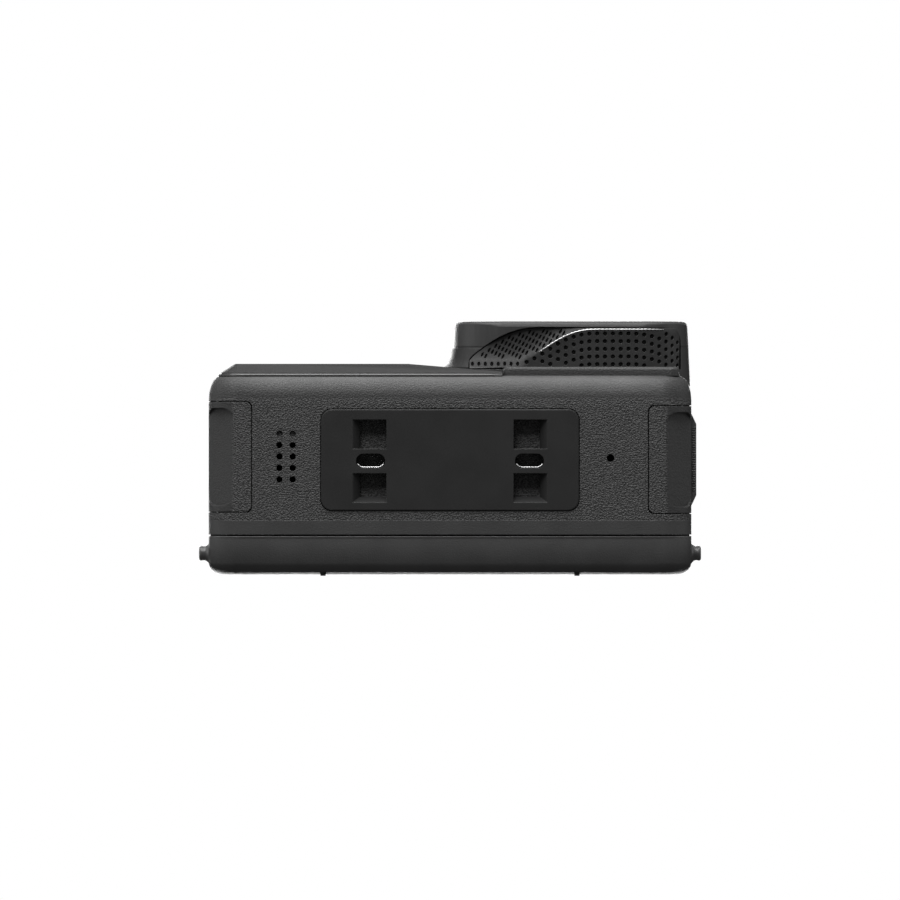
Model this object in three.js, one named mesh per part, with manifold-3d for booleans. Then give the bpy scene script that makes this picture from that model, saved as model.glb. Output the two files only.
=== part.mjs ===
// Compact action camera: a grained shell with a square lens block, a screen that flips up from the
// rear, a battery door and a USB door at the sides, and a slotted mount plate underneath.
// Millimetres. +X is to the right seen from the front, +Y runs to the rear, +Z is up.
// The origin is the centre of the mount plate's lower face.
import * as THREE from 'three';
import { mergeVertices } from 'three/addons/utils/BufferGeometryUtils.js';
import Module from 'manifold-3d';

const wasm = await Module();
wasm.setup();

// ---------------------------------------------------------------- driving dimensions

// Body
const WIDTH = 71.9;
const HEIGHT = 52.2;
const SHELL_DEPTH = 21.5;
const CORNER_R = 4.4;             // corners of the body seen from the front
const EDGE_DEPTH = 3.6;           // the shell's soft front edge: how far it runs back
const EDGE_INSET = 1.8;           // and how far it steps in
const SIDE_WALL = 3.9;
const BOTTOM_WALL = 3.7;
const TOP_WALL = 4.4;
const FRONT_WALL = 1.6;
const SHELL_REAR_Y = 9.0;
const CAVITY_R = 0.5;             // inner corners of the shell

// Clearances
const SEAT = 0.1;                 // between pieces fitted together for good
const FIT = 0.15;                 // around a door or a cover in its recess
const RUN = 0.3;                  // around pieces that swing or slide

// Rear frame and flip screen
const FRAME_DEPTH = 2.12;
const FRAME_WALL = 1.2;
const SCREEN_GAP = 0.26;
const SCREEN_DEPTH = 5.68;
const SCREEN_FOOT = 0.5;          // lower edge of the screen above the plate's face
const SCREEN_EDGE_DEPTH = 1.75;
const SCREEN_EDGE_INSET = 2.4;
const HINGE_R = 1.5;
const HINGE_BARREL = 40;          // length of the screen's hinge barrel
const HINGE_EAR = 4;
const HINGE_PIN_R = 0.6;
const SCREEN_MARGIN_X = 3.1;      // frame around the display glass
const SCREEN_MARGIN_Z = 2.9;
const GLASS_THICK = 0.7;
const PANEL_THICK = 1.4;
const STUD_Y = 14.25;             // finger studs at the sides of the screen
const STUD_Z = 7.0;
const STUD_R = 0.8;
const STUD_REACH = 1.45;
const STUD_ROOT = 1.6;
const BUMPER_X = 18.9;
const BUMPER_WIDE = 0.75;
const BUMPER_TALL = 1.5;
const BUMPER_FOOT = 1.1;
const BUMPER_PROUD = 0.2;

// Mount plate
const PLATE_W = 38.4;
const PLATE_D = 15.1;
const PLATE_R = 1.65;
const PLATE_THICK = 1.5;
const PLATE_PROUD = 0.2;
const PLATE_EDGE = 0.16;
const WINDOW_IN = 9.45;           // inner and outer sides of the claw windows
const WINDOW_OUT = 13.4;
const WINDOW_FLANK = 14.5;
const WINDOW_OFFSET = 4.0;        // middle of a window from the slot's line
const WINDOW_LONG = 4.35;
const WINDOW_SLOPE = 0.85;        // sloped rear wall of the rear windows
const SLOT_IN = 9.66;
const SLOT_OUT = 14.0;
const SLOT_WIDE = 2.2;
const SLOT_Y = 0.17;
const CLAW_DEPTH = 1.0;           // pocket in the shell above the windows
const MAGNET_R = 3.1;
const MAGNET_THICK = 0.8;
const MAGNET_X = 3.9;

// Doors
const DOOR_THICK = 1.9;
const DOOR_INBOARD = 6.35;        // how far a door reaches under the body
const DOOR_CORNER_R = 0.9;
const BATTERY_DOOR_FRONT = -8.0;
const BATTERY_DOOR_REAR = 7.93;
const BATTERY_DOOR_Z = 40.6;      // hinge line
const USB_DOOR_FRONT = -8.63;
const USB_DOOR_REAR = 7.72;
const USB_DOOR_Z = 31.0;
const USB_OPENING = 11.2;
const DOOR_PIN_R = 0.5;
const DOOR_OPENING_LOW = 5.2;
const DOOR_OPENING_DROP = 2.6;    // top of the opening below the hinge line
const GASKET_WALL = 0.8;
const GASKET_REACH = 1.1;
const SCOOP_IN = 3.85;            // finger scoop along the doors' lower corner
const SCOOP_END = 0.9;
const LATCH_WIDE = 13.6;
const LATCH_TALL = 9.0;
const LATCH_LOW = 6.2;
const LATCH_TRAVEL = 2.2;
const LATCH_PROUD = 0.75;
const LATCH_POCKET = 1.05;
const LATCH_PITCH = 1.0;
const LATCH_STEM_W = 4.0;

// Lens block
const LENS_BLOCK = 35.6;          // side of the square block at its base
const LENS_BLOCK_R = 7.6;
const LENS_DRAFT = 0.45;          // how far each side leans in by the front
const LENS_FRONT_Y = -20.68;
const BEZEL_Y = -16.9;            // seam between the block and its bezel
const LENS_SIDE_GAP = 0.04;       // block's right side inside the body's side
const LENS_TOP_GAP = 0.3;
const FLARE_WIDE = 1.35;          // the block spreads towards the body
const FLARE_DEPTH = 2.8;
const GUARD_MARGIN = 4.6;         // block's sides outside the guard's ring
const GUARD_FLANGE_REACH = 1.05;  // front rim beyond the ring; it covers the lugs' slots
const GUARD_FLANGE = 0.9;
const GUARD_GLASS_EDGE = 0.9;     // ring around the glass
const GUARD_RECESS = 0.12;
const GUARD_WALL = 0.7;           // material left between the guard's grooves and the grille
const LUGS = 3;                   // bayonet lugs on the guard
const LUG_OUT = 0.75;
const LUG_THICK = 0.8;
const SENSOR_W = 12;
const SENSOR_H = 9;
const SENSOR_ROOM = 1.5;          // between the sensor's corners and the barrel's rear bore
const BARREL_WALL = 1.8;
const BARREL_FLANGE = 1.1;
const HOOD_SEAT = 1.3;            // hood's seat around the block's bore
const HOOD_WALL = 2.6;
const BARREL_REAR_Y = -6.3;

// Microphone grille in the underside of the lens block
const GRILLE_LEFT = 2.45;         // window's ends inside the block's sides
const GRILLE_RIGHT = 1.45;
const GRILLE_FRONT_Y = -19.85;
const GRILLE_REAR_Y = -13.5;
const GRILLE_DEEP = 2.4;
const GRILLE_SET = 0.7;           // grille behind the block's lower face
const GRILLE_THICK = 0.5;
const GRILLE_RISE = 3.0;

// Front
const COVER_THICK = 1.8;
const COVER_CHAMFER_DEPTH = 1.3;
const COVER_CHAMFER = 2.1;
const COVER_LIP = 0.4;            // thin lip that spreads over the shell's front edge
const COVER_LEAN = 1.25;          // how far the face falls back beside the lens block
const COVER_LEAN_FROM = 5.2;      // it starts this far before the block's flare
const COVER_SPLIT_X = 7.8;        // cover's right end under the lens block
const PAD_THICK = 1.35;           // shell's raised pad under the lens block
const DISPLAY_W = 18;
const DISPLAY_H = 18;
const DISPLAY_X = -19.5;
const DISPLAY_DROP = 17.0;        // its middle below the top
const LAMP_R = 0.9;
const LAMP_SET = 0.4;             // lamp behind the cover's face

// Buttons
const SHUTTER_R = 5.6;
const SHUTTER_X = -19.5;
const SHUTTER_Y = -1.0;
const SHUTTER_TRAVEL = 0.6;
const POWER_LONG = 10.5;
const POWER_WIDE = 4.5;
const POWER_Z = 41.0;
const POWER_Y = -0.35;
const POWER_PROUD = 0.18;
const POWER_TRAVEL = 0.3;

// Inside
const BATTERY_L = 32.6;
const BATTERY_T = 9.0;
const BATTERY_Y = 1.2;
const BATTERY_TALL = 31.4;
const BATTERY_END_ROOM = 2.6;     // spring and gasket room between the pack and its door
const TERMINAL_ROOM = 1.6;
const BAY_WALL = 0.7;
const BOARD_THICK = 1.0;
const BOARD_Y = 3.6;
const PORT_ROOM = 2.6;            // for the plug's grip between the door's opening and the port
const PROCESSOR_SIDE = 11;
const PROCESSOR_Z = 34.5;
const SPEAKER_PITCH_X = 1.98;
const SPEAKER_PITCH_Y = 1.7;
const SPEAKER_HOLE_R = 0.475;
const SPEAKER_FIRST_Y = -2.2;
const SPEAKER_HOLES = 4;
const VENT_R = 0.575;
const SCREW_HEAD_R = 1.15;
const SCREW_HEAD_THICK = 0.7;
const SCREW_SHANK_R = 0.6;
const SCREW_LONG = 5.0;
const SCREW_X_TOP = 30.2;
const SCREW_X_LOW = 24.3;

// Roundness of arcs
const ARC_STEPS = 5;
const LENS_ARC_STEPS = 6;
const ROUND_STEPS = 32;
const SMALL_ROUND_STEPS = 14;
const HOLE_STEPS = 12;

// ---------------------------------------------------------------- places worked out from them

const HALF_W = WIDTH / 2;
const SHELL_BOTTOM = PLATE_PROUD;
const SHELL_FRONT_Y = SHELL_REAR_Y - SHELL_DEPTH;
const FRAME_REAR_Y = SHELL_REAR_Y + FRAME_DEPTH;
const SCREEN_FRONT_Y = FRAME_REAR_Y + SCREEN_GAP;
const SCREEN_REAR_Y = SCREEN_FRONT_Y + SCREEN_DEPTH;
const HINGE_Y = FRAME_REAR_Y + SCREEN_GAP / 2;
const HINGE_Z = HEIGHT - HINGE_R;
const SCREEN_TOP = 2 * HINGE_Z - HEIGHT - RUN;
const CAVITY = {
  x: HALF_W - SIDE_WALL,
  y0: SHELL_FRONT_Y + FRONT_WALL,
  y1: SHELL_REAR_Y,
  z0: SHELL_BOTTOM + BOTTOM_WALL,
  z1: HEIGHT - TOP_WALL,
};
const LENS_X = HALF_W - LENS_SIDE_GAP - LENS_BLOCK / 2;
const LENS_Z = HEIGHT - LENS_TOP_GAP - LENS_BLOCK / 2;
const LENS_BOTTOM = LENS_Z - LENS_BLOCK / 2;
const COVER_FRONT_Y = SHELL_FRONT_Y - COVER_THICK;
const DOOR_PIVOT_X = HALF_W - (DOOR_THICK + 1) / 2;
const DOOR_BARREL_R = HALF_W - DOOR_PIVOT_X;
const DOOR_FLOOR = DOOR_THICK + FIT;
const GUARD_R = LENS_BLOCK / 2 - GUARD_MARGIN;
const GUARD_FLANGE_R = GUARD_R + GUARD_FLANGE_REACH;
const GUARD_GLASS_R = GUARD_R - GUARD_GLASS_EDGE;
const BORE_REAR_R = Math.hypot(SENSOR_W, SENSOR_H) / 2 + SENSOR_ROOM;
const BARREL_R = BORE_REAR_R + BARREL_WALL;
const BLOCK_BORE_R = BARREL_R + BARREL_FLANGE;
const HOOD_OUT = BLOCK_BORE_R + HOOD_SEAT;
const HOOD_IN = HOOD_OUT - HOOD_WALL;
const DISPLAY_Z = HEIGHT - DISPLAY_DROP;
const FAR = 200;                  // beyond every surface, for cutting

// ---------------------------------------------------------------- finishes

function finish(color, roughness, metalness = 0) {
  return new THREE.MeshStandardMaterial({ color, roughness, metalness });
}

const FINISH = {
  shell: finish(0x3b3b3c, 0.8),
  satin: finish(0x414142, 0.5),
  smooth: finish(0x2b2b2c, 0.45),
  grille: finish(0x161617, 0.5, 0.4),
  rubber: finish(0x202020, 0.9),
  steel: finish(0x8c8c8e, 0.35, 1),
  darkSteel: finish(0x2e2e30, 0.4, 1),
  aluminium: finish(0xb9bcc0, 0.4, 1),
  board: finish(0x14402c, 0.6),
  black: finish(0x0c0c0d, 0.35),
  glass: finish(0x08090b, 0.05),
  battery: finish(0x2a2b2e, 0.55),
};

// ---------------------------------------------------------------- shapes

// Rectangle with round corners between two corners of its plane
function roundedRect(x0, y0, x1, y1, r) {
  const shape = new THREE.Shape();
  shape.moveTo(x0 + r, y0);
  shape.lineTo(x1 - r, y0);
  shape.absarc(x1 - r, y0 + r, r, -Math.PI / 2, 0);
  shape.lineTo(x1, y1 - r);
  shape.absarc(x1 - r, y1 - r, r, 0, Math.PI / 2);
  shape.lineTo(x0 + r, y1);
  shape.absarc(x0 + r, y1 - r, r, Math.PI / 2, Math.PI);
  shape.lineTo(x0, y0 + r);
  shape.absarc(x0 + r, y0 + r, r, Math.PI, 1.5 * Math.PI);
  return shape;
}

function polygon(points) {
  return new THREE.Shape(points.map(([x, y]) => new THREE.Vector2(x, y)));
}

function extruded(shape, depth, edge, steps = ARC_STEPS) {
  const bevel = edge
    ? {
      bevelEnabled: true,
      bevelThickness: edge.depth,
      bevelSize: edge.inset,
      bevelOffset: -edge.inset,
      bevelSegments: edge.steps,
    }
    : { bevelEnabled: false };
  return new THREE.ExtrudeGeometry(shape, { depth, curveSegments: steps, ...bevel });
}

// A three.js geometry as a solid: shared vertices merged, collapsed triangles left out
function solid(geometry) {
  const bare = new THREE.BufferGeometry();
  bare.setAttribute('position', geometry.attributes.position.clone());
  if (geometry.index) bare.setIndex(geometry.index.clone());
  const merged = mergeVertices(bare, 1e-4);
  const found = merged.index.array;
  const kept = [];
  for (let i = 0; i < found.length; i += 3) {
    const [a, b, c] = [found[i], found[i + 1], found[i + 2]];
    if (a !== b && b !== c && c !== a) kept.push(a, b, c);
  }
  return new wasm.Manifold(new wasm.Mesh({
    numProp: 3,
    vertProperties: Float32Array.from(merged.attributes.position.array),
    triVerts: Uint32Array.from(kept),
  }));
}

// Prisms along each axis. Along Z the shape's plane is XY, along Y it is XZ, along X it is YZ.
function prismZ(shape, z0, z1, steps) {
  return solid(extruded(shape, z1 - z0, null, steps).translate(0, 0, z0));
}

function prismY(shape, y0, y1, steps) {
  return solid(extruded(shape, y1 - y0, null, steps).rotateX(Math.PI / 2).translate(0, y1, 0));
}

function prismX(shape, x0, x1, steps) {
  const turn = new THREE.Matrix4().makeBasis(
    new THREE.Vector3(0, 1, 0), new THREE.Vector3(0, 0, 1), new THREE.Vector3(1, 0, 0));
  return solid(extruded(shape, x1 - x0, null, steps).applyMatrix4(turn).translate(x0, 0, 0));
}

function box(x0, x1, y0, y1, z0, z1) {
  const block = new THREE.BoxGeometry(x1 - x0, y1 - y0, z1 - z0);
  return solid(block.translate((x0 + x1) / 2, (y0 + y1) / 2, (z0 + z1) / 2));
}

// Prism along Y whose front or rear edge steps in over edge.depth by edge.inset
function edgedPrismY(shape, y0, y1, edge, end = 'front', steps = ARC_STEPS) {
  const depth = y1 - y0 - edge.depth;
  const geometry = extruded(shape, depth, edge, steps).rotateX(Math.PI / 2);
  if (end === 'front') {
    const whole = solid(geometry.translate(0, y0 + edge.depth + depth, 0));
    return whole.subtract(box(-FAR, FAR, y1, y1 + FAR, -FAR, FAR));
  }
  const whole = solid(geometry.translate(0, y0 + depth, 0));
  return whole.subtract(box(-FAR, FAR, y0 - FAR, y0, -FAR, FAR));
}

// The same along Z, with the lower or upper edge stepping in
function edgedPrismZ(shape, z0, z1, edge, end = 'low', steps = ARC_STEPS) {
  const depth = z1 - z0 - edge.depth;
  if (end === 'low') {
    const whole = solid(extruded(shape, depth, edge, steps).translate(0, 0, z0 + edge.depth));
    return whole.subtract(box(-FAR, FAR, -FAR, FAR, z1, z1 + FAR));
  }
  const whole = solid(extruded(shape, depth, edge, steps).translate(0, 0, z0));
  return whole.subtract(box(-FAR, FAR, -FAR, FAR, z0 - FAR, z0));
}

function rod(axis, radius, from, to, u, v, steps = SMALL_ROUND_STEPS) {
  const cylinder = new THREE.CylinderGeometry(radius, radius, to - from, steps);
  const middle = (from + to) / 2;
  if (axis === 'x') return solid(cylinder.rotateZ(Math.PI / 2).translate(middle, u, v));
  if (axis === 'y') return solid(cylinder.translate(u, middle, v));
  return solid(cylinder.rotateX(Math.PI / 2).translate(u, v, middle));
}

// Turned part about an axis along Y through (x, z). The profile is a list of [radius, y].
function turned(profile, x, z, steps = ROUND_STEPS) {
  const points = profile.map(([r, y]) => new THREE.Vector2(r, y));
  return solid(new THREE.LatheGeometry(points, steps).translate(x, 0, z));
}

function join(first, ...others) {
  return others.reduce((whole, other) => whole.add(other), first);
}

function cut(first, ...others) {
  return others.reduce((whole, other) => whole.subtract(other), first);
}

function mesh(name, body, material) {
  const { vertProperties, triVerts } = body.getMesh();
  const geometry = new THREE.BufferGeometry();
  geometry.setAttribute('position', new THREE.BufferAttribute(vertProperties, 3));
  geometry.setIndex(new THREE.BufferAttribute(triVerts, 1));
  geometry.computeVertexNormals();
  const made = new THREE.Mesh(geometry, material);
  made.name = name;
  return made;
}

// The body seen from the front, stepped in by an inset on every side
function bodyOutline(inset = 0) {
  const r = Math.max(CORNER_R - inset, 0.5);
  return roundedRect(-HALF_W + inset, SHELL_BOTTOM + inset, HALF_W - inset, HEIGHT - inset, r);
}

// ---------------------------------------------------------------- doors, shared by both sides

// Everything about one side door that the shell and the door both need. side is +1 or -1.
function doorPlan(side, front, rear, hingeZ) {
  const openingTop = hingeZ - DOOR_OPENING_DROP;
  return { side, front, rear, hingeZ, inner: HALF_W - DOOR_INBOARD, openingTop };
}

const BATTERY_PLAN = doorPlan(1, BATTERY_DOOR_FRONT, BATTERY_DOOR_REAR, BATTERY_DOOR_Z);
const USB_PLAN = doorPlan(-1, USB_DOOR_FRONT, USB_DOOR_REAR, USB_DOOR_Z);
const OPENING = {
  battery: { y0: BATTERY_Y - BATTERY_T / 2 - RUN, y1: BATTERY_Y + BATTERY_T / 2 + RUN },
  usb: { y0: -USB_OPENING / 2, y1: USB_OPENING / 2 },
};

// The wrapped skin between the body's outline and one stepped in by thickness, grown by a clearance
function doorSkin(plan, thickness, clearance) {
  const { side, front, rear, hingeZ, inner } = plan;
  const y0 = front - clearance;
  const y1 = rear + clearance;
  const outer = prismY(bodyOutline(-clearance * 0.5), y0, y1);
  const core = prismY(bodyOutline(thickness), y0 - 1, y1 + 1);
  const x0 = inner - clearance;
  const plate = roundedRect(x0, y0, HALF_W + 6, y1, DOOR_CORNER_R);
  let reach = prismZ(plate, SHELL_BOTTOM - 1, hingeZ, ARC_STEPS);
  if (side < 0) reach = reach.mirror([1, 0, 0]);
  return outer.subtract(core).intersect(reach);
}

function doorBarrel(plan, radius, grow) {
  const x = plan.side * DOOR_PIVOT_X;
  return rod('y', radius, plan.front - grow, plan.rear + grow, x, plan.hingeZ, 20);
}

function doorPinRoom(plan, radius, from, to) {
  return rod('y', radius, from, to, plan.side * DOOR_PIVOT_X, plan.hingeZ, SMALL_ROUND_STEPS);
}

// Ring of rubber that seals the shell's opening behind a door
function gasketRing(plan, opening, material, name) {
  const { side, openingTop } = plan;
  const outer = roundedRect(
    opening.y0 + FIT, DOOR_OPENING_LOW + FIT, opening.y1 - FIT, openingTop - FIT, 1.0);
  const inner = roundedRect(
    opening.y0 + FIT + GASKET_WALL, DOOR_OPENING_LOW + FIT + GASKET_WALL,
    opening.y1 - FIT - GASKET_WALL, openingTop - FIT - GASKET_WALL, 0.6);
  outer.holes.push(inner);
  const x1 = HALF_W - DOOR_THICK - SEAT;
  const ring = prismX(outer, x1 - GASKET_REACH, x1, 4);
  return mesh(name, side < 0 ? ring.mirror([1, 0, 0]) : ring, material);
}

// Finger scoop: a flat with round ends, cut across the door's lower corner
function doorScoop(plan) {
  const { side, front, rear } = plan;
  const across = SCOOP_IN * Math.SQRT1_2;
  const flat = roundedRect(front + SCOOP_END, -across, rear - SCOOP_END, across, 1.9);
  const turn = new THREE.Matrix4().makeBasis(
    new THREE.Vector3(0, 1, 0),
    new THREE.Vector3(Math.SQRT1_2, 0, Math.SQRT1_2),
    new THREE.Vector3(Math.SQRT1_2, 0, -Math.SQRT1_2));
  const middle = SCOOP_IN / 2;
  const tool = solid(extruded(flat, 8, null, ARC_STEPS).applyMatrix4(turn)
    .translate(HALF_W - middle, 0, SHELL_BOTTOM + middle));
  return side < 0 ? tool.mirror([1, 0, 0]) : tool;
}

function doorBody(plan) {
  const skin = doorSkin(plan, DOOR_THICK, 0);
  const hinged = join(skin, doorBarrel(plan, DOOR_BARREL_R, 0));
  const bore = doorPinRoom(plan, DOOR_PIN_R + SEAT, plan.front - 1, plan.rear + 1);
  return cut(hinged, bore, doorScoop(plan));
}

// What the shell gives up for a door: the skin's recess, the barrel's trough and the pin's bore
function doorRoom(plan, opening) {
  const { side, front, rear, hingeZ, openingTop } = plan;
  const recess = doorSkin(plan, DOOR_FLOOR, FIT);
  const reach = DOOR_BARREL_R + RUN;
  const trough = doorBarrel(plan, reach, FIT);
  let swing = box(
    DOOR_PIVOT_X, HALF_W + 1, front - FIT, rear + FIT, hingeZ - reach, hingeZ + reach);
  if (side < 0) swing = swing.mirror([1, 0, 0]);
  const pin = doorPinRoom(plan, DOOR_PIN_R + SEAT, plan.front - 1.8, SHELL_REAR_Y + 1);
  const mouth = roundedRect(opening.y0, DOOR_OPENING_LOW, opening.y1, openingTop, 1.0);
  let way = prismX(mouth, CAVITY.x - 1, HALF_W, 4);
  if (side < 0) way = way.mirror([1, 0, 0]);
  return join(recess, trough, swing, pin, way);
}

function doorPin(name, plan) {
  const body = doorPinRoom(plan, DOOR_PIN_R, plan.front - 1.5, SHELL_REAR_Y - SEAT);
  return mesh(name, body, FINISH.steel);
}

// ---------------------------------------------------------------- shared outlines

const SENSOR_BOARD = { w: 22, h: 21, y0: BARREL_REAR_Y + SEAT, thick: 0.8 };

// The board behind the barrel, grown by a clearance on every side
function sensorBoard(grow) {
  const { y0, thick } = SENSOR_BOARD;
  const w = SENSOR_BOARD.w / 2 + grow;
  const h = SENSOR_BOARD.h / 2 + grow;
  return box(LENS_X - w, LENS_X + w, y0 - grow, y0 + thick + grow, LENS_Z - h, LENS_Z + h);
}

function cavityOutline() {
  return roundedRect(-CAVITY.x, CAVITY.z0, CAVITY.x, CAVITY.z1, CAVITY_R);
}

const SHELL_EDGE = { depth: EDGE_DEPTH, inset: EDGE_INSET, steps: 5 };

function shellBlank() {
  return edgedPrismY(bodyOutline(), SHELL_FRONT_Y, SHELL_REAR_Y, SHELL_EDGE);
}

function lensOutline(inset = 0) {
  const half = LENS_BLOCK / 2 - inset;
  const r = LENS_BLOCK_R - inset;
  return roundedRect(LENS_X - half, LENS_Z - half, LENS_X + half, LENS_Z + half, r);
}

// The lens block between two planes, each side leaning in towards the front
function lensBlank(y0, y1) {
  const lean = (y) => LENS_DRAFT * (SHELL_FRONT_Y - y) / (SHELL_FRONT_Y - LENS_FRONT_Y);
  const shape = lensOutline();
  const geometry = extruded(shape, y1 - y0, null, LENS_ARC_STEPS)
    .rotateX(Math.PI / 2).translate(0, y1, 0);
  const place = geometry.attributes.position;
  for (let i = 0; i < place.count; i += 1) {
    const k = 1 - Math.max(lean(place.getY(i)), 0) / (LENS_BLOCK / 2);
    place.setX(i, LENS_X + (place.getX(i) - LENS_X) * k);
    place.setZ(i, LENS_Z + (place.getZ(i) - LENS_Z) * k);
  }
  return solid(geometry);
}

// Claw windows and slots of the mount plate, as [x0, x1, y0, y1] for one side
const WINDOW_ROWS = [SLOT_Y - WINDOW_OFFSET, SLOT_Y + WINDOW_OFFSET].map(
  (middle) => [middle - WINDOW_LONG / 2, middle + WINDOW_LONG / 2]);

// Block whose lower and upper faces differ: low and high are [x0, x1, y0, y1]
function frustum(low, high, z0, z1) {
  const geometry = new THREE.BoxGeometry(1, 1, 1);
  const place = geometry.attributes.position;
  for (let i = 0; i < place.count; i += 1) {
    const face = place.getZ(i) < 0 ? low : high;
    const x = place.getX(i) < 0 ? face[0] : face[1];
    const y = place.getY(i) < 0 ? face[2] : face[3];
    place.setXYZ(i, x, y, place.getZ(i) < 0 ? z0 : z1);
  }
  return solid(geometry);
}

function bothSides(body) {
  return body.add(body.mirror([1, 0, 0]));
}

// ---------------------------------------------------------------- mount plate

function plateWindows(z0, z1) {
  const cuts = WINDOW_ROWS.map(([y0, y1], row) => {
    const slope = row === 1 ? WINDOW_SLOPE : 0;
    const low = [WINDOW_IN, WINDOW_FLANK, y0, y1];
    const high = [WINDOW_IN, WINDOW_OUT, y0, y1 - slope];
    return frustum(low, high, z0, z1);
  });
  const half = SLOT_WIDE / 2;
  const slot = roundedRect(SLOT_IN, SLOT_Y - half, SLOT_OUT, SLOT_Y + half, half - 0.001);
  return bothSides(join(...cuts, prismZ(slot, z0, z1)));
}

function mountPlate() {
  const outline = roundedRect(-PLATE_W / 2, -PLATE_D / 2, PLATE_W / 2, PLATE_D / 2, PLATE_R);
  const edge = { depth: PLATE_EDGE, inset: PLATE_EDGE, steps: 2 };
  const plate = edgedPrismZ(outline, 0, PLATE_THICK, edge);
  const windows = plateWindows(0, PLATE_THICK);
  const over = 0.01;
  const clear = join(windows, plateWindows(-over, 0), plateWindows(PLATE_THICK, PLATE_THICK + over));
  return mesh('mount_plate', cut(plate, clear), FINISH.smooth);
}

// The shell's pocket for the plate, the claw pockets above its windows and the magnets' seats
function plateRoom() {
  const [w, d] = [PLATE_W / 2 + SEAT, PLATE_D / 2 + SEAT];
  const pocket = prismZ(roundedRect(-w, -d, w, d, PLATE_R + SEAT), -1, PLATE_THICK);
  const claws = WINDOW_ROWS.map(([y0, y1], row) => {
    const slope = row === 1 ? WINDOW_SLOPE : 0;
    return box(WINDOW_IN, WINDOW_OUT, y0, y1 - slope, PLATE_THICK - 0.1, PLATE_THICK + CLAW_DEPTH);
  });
  const half = SLOT_WIDE / 2;
  const slot = roundedRect(SLOT_IN, SLOT_Y - half, SLOT_OUT, SLOT_Y + half, half - 0.001);
  claws.push(prismZ(slot, PLATE_THICK - 0.1, PLATE_THICK + CLAW_DEPTH * 0.6));
  const seatTop = PLATE_THICK + MAGNET_THICK + 2 * SEAT;
  const seat = rod('z', MAGNET_R + SEAT, PLATE_THICK - 0.1, seatTop, MAGNET_X, SLOT_Y, 32);
  return join(pocket, bothSides(join(...claws)), bothSides(seat));
}

function magnets() {
  return [['left', -1], ['right', 1]].map(([word, side]) => {
    const z0 = PLATE_THICK + SEAT;
    const body = rod('z', MAGNET_R, z0, z0 + MAGNET_THICK, side * MAGNET_X, SLOT_Y, 32);
    return mesh(`mount_magnet_${word}`, body, FINISH.steel);
  });
}

// ---------------------------------------------------------------- shell

const SIDE_STRIP_X = (PLATE_W / 2 + HALF_W - DOOR_INBOARD) / 2;

function speakerHoles() {
  const holes = [];
  for (const column of [-0.5, 0.5]) {
    const x = -SIDE_STRIP_X + column * SPEAKER_PITCH_X;
    for (let row = 0; row < SPEAKER_HOLES; row += 1) {
      const y = SPEAKER_FIRST_Y + row * SPEAKER_PITCH_Y;
      holes.push(rod('z', SPEAKER_HOLE_R, -1, CAVITY.z0 + 1, x, y, HOLE_STEPS));
    }
    const dimpleY = SPEAKER_FIRST_Y - SPEAKER_PITCH_Y;
    holes.push(rod('z', SPEAKER_HOLE_R, -1, SHELL_BOTTOM + 0.45, x, dimpleY, HOLE_STEPS));
  }
  return join(...holes);
}

function frontPad() {
  const low = SHELL_BOTTOM + EDGE_INSET;
  const high = LENS_BOTTOM - FLARE_WIDE - FIT;
  const x0 = COVER_SPLIT_X + FIT;
  const shape = roundedRect(x0, low, HALF_W - EDGE_INSET, high, 1.2);
  const edge = { depth: 0.5, inset: 0.5, steps: 3 };
  return edgedPrismY(shape, SHELL_FRONT_Y - PAD_THICK, SHELL_FRONT_Y, edge);
}

const SCREW_PLACES = [
  ['top_left', -SCREW_X_TOP, HEIGHT - TOP_WALL / 2],
  ['top_right', SCREW_X_TOP, HEIGHT - TOP_WALL / 2],
  ['low_left', -SCREW_X_LOW, SHELL_BOTTOM + BOTTOM_WALL / 2],
  ['low_right', SCREW_X_LOW, SHELL_BOTTOM + BOTTOM_WALL / 2],
];
const SCREW_SEAT_Y = FRAME_REAR_Y - SCREW_HEAD_THICK - 0.25;

function screwBores(y0, y1) {
  return join(...SCREW_PLACES.map(([, x, z]) => rod('y', SCREW_SHANK_R + SEAT, y0, y1, x, z, HOLE_STEPS)));
}

function rearScrews() {
  return SCREW_PLACES.map(([word, x, z]) => {
    const head = rod('y', SCREW_HEAD_R, SCREW_SEAT_Y, SCREW_SEAT_Y + SCREW_HEAD_THICK, x, z, 18);
    const shank = rod('y', SCREW_SHANK_R, SCREW_SEAT_Y - SCREW_LONG, SCREW_SEAT_Y, x, z, HOLE_STEPS);
    const y = SCREW_SEAT_Y + SCREW_HEAD_THICK;
    const long = SCREW_HEAD_R * 0.6;
    const wide = 0.16;
    const cross = join(
      box(x - long, x + long, y - 0.35, y + 1, z - wide, z + wide),
      box(x - wide, x + wide, y - 0.35, y + 1, z - long, z + long));
    return mesh(`rear_screw_${word}`, cut(join(head, shank), cross), FINISH.darkSteel);
  });
}

// Pocket in the top wall for the shutter button, its stem and its stop
const SHUTTER_DEEP = 2.2;
const SHUTTER_FLOOR = HEIGHT - SHUTTER_DEEP - SHUTTER_TRAVEL - RUN;

function shutterRoom() {
  const pocket = rod('z', SHUTTER_R + FIT, SHUTTER_FLOOR, HEIGHT + 1, SHUTTER_X, SHUTTER_Y, ROUND_STEPS);
  const stem = rod('z', 1.2 + FIT, CAVITY.z1 - 1, HEIGHT, SHUTTER_X, SHUTTER_Y, SMALL_ROUND_STEPS);
  return join(pocket, stem);
}

const POWER_DEEP = 1.3;

function powerOutline(grow) {
  const half = POWER_WIDE / 2 + grow;
  const long = POWER_LONG / 2 + grow;
  return roundedRect(POWER_Y - half, POWER_Z - long, POWER_Y + half, POWER_Z + long, half - 0.01);
}

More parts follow.
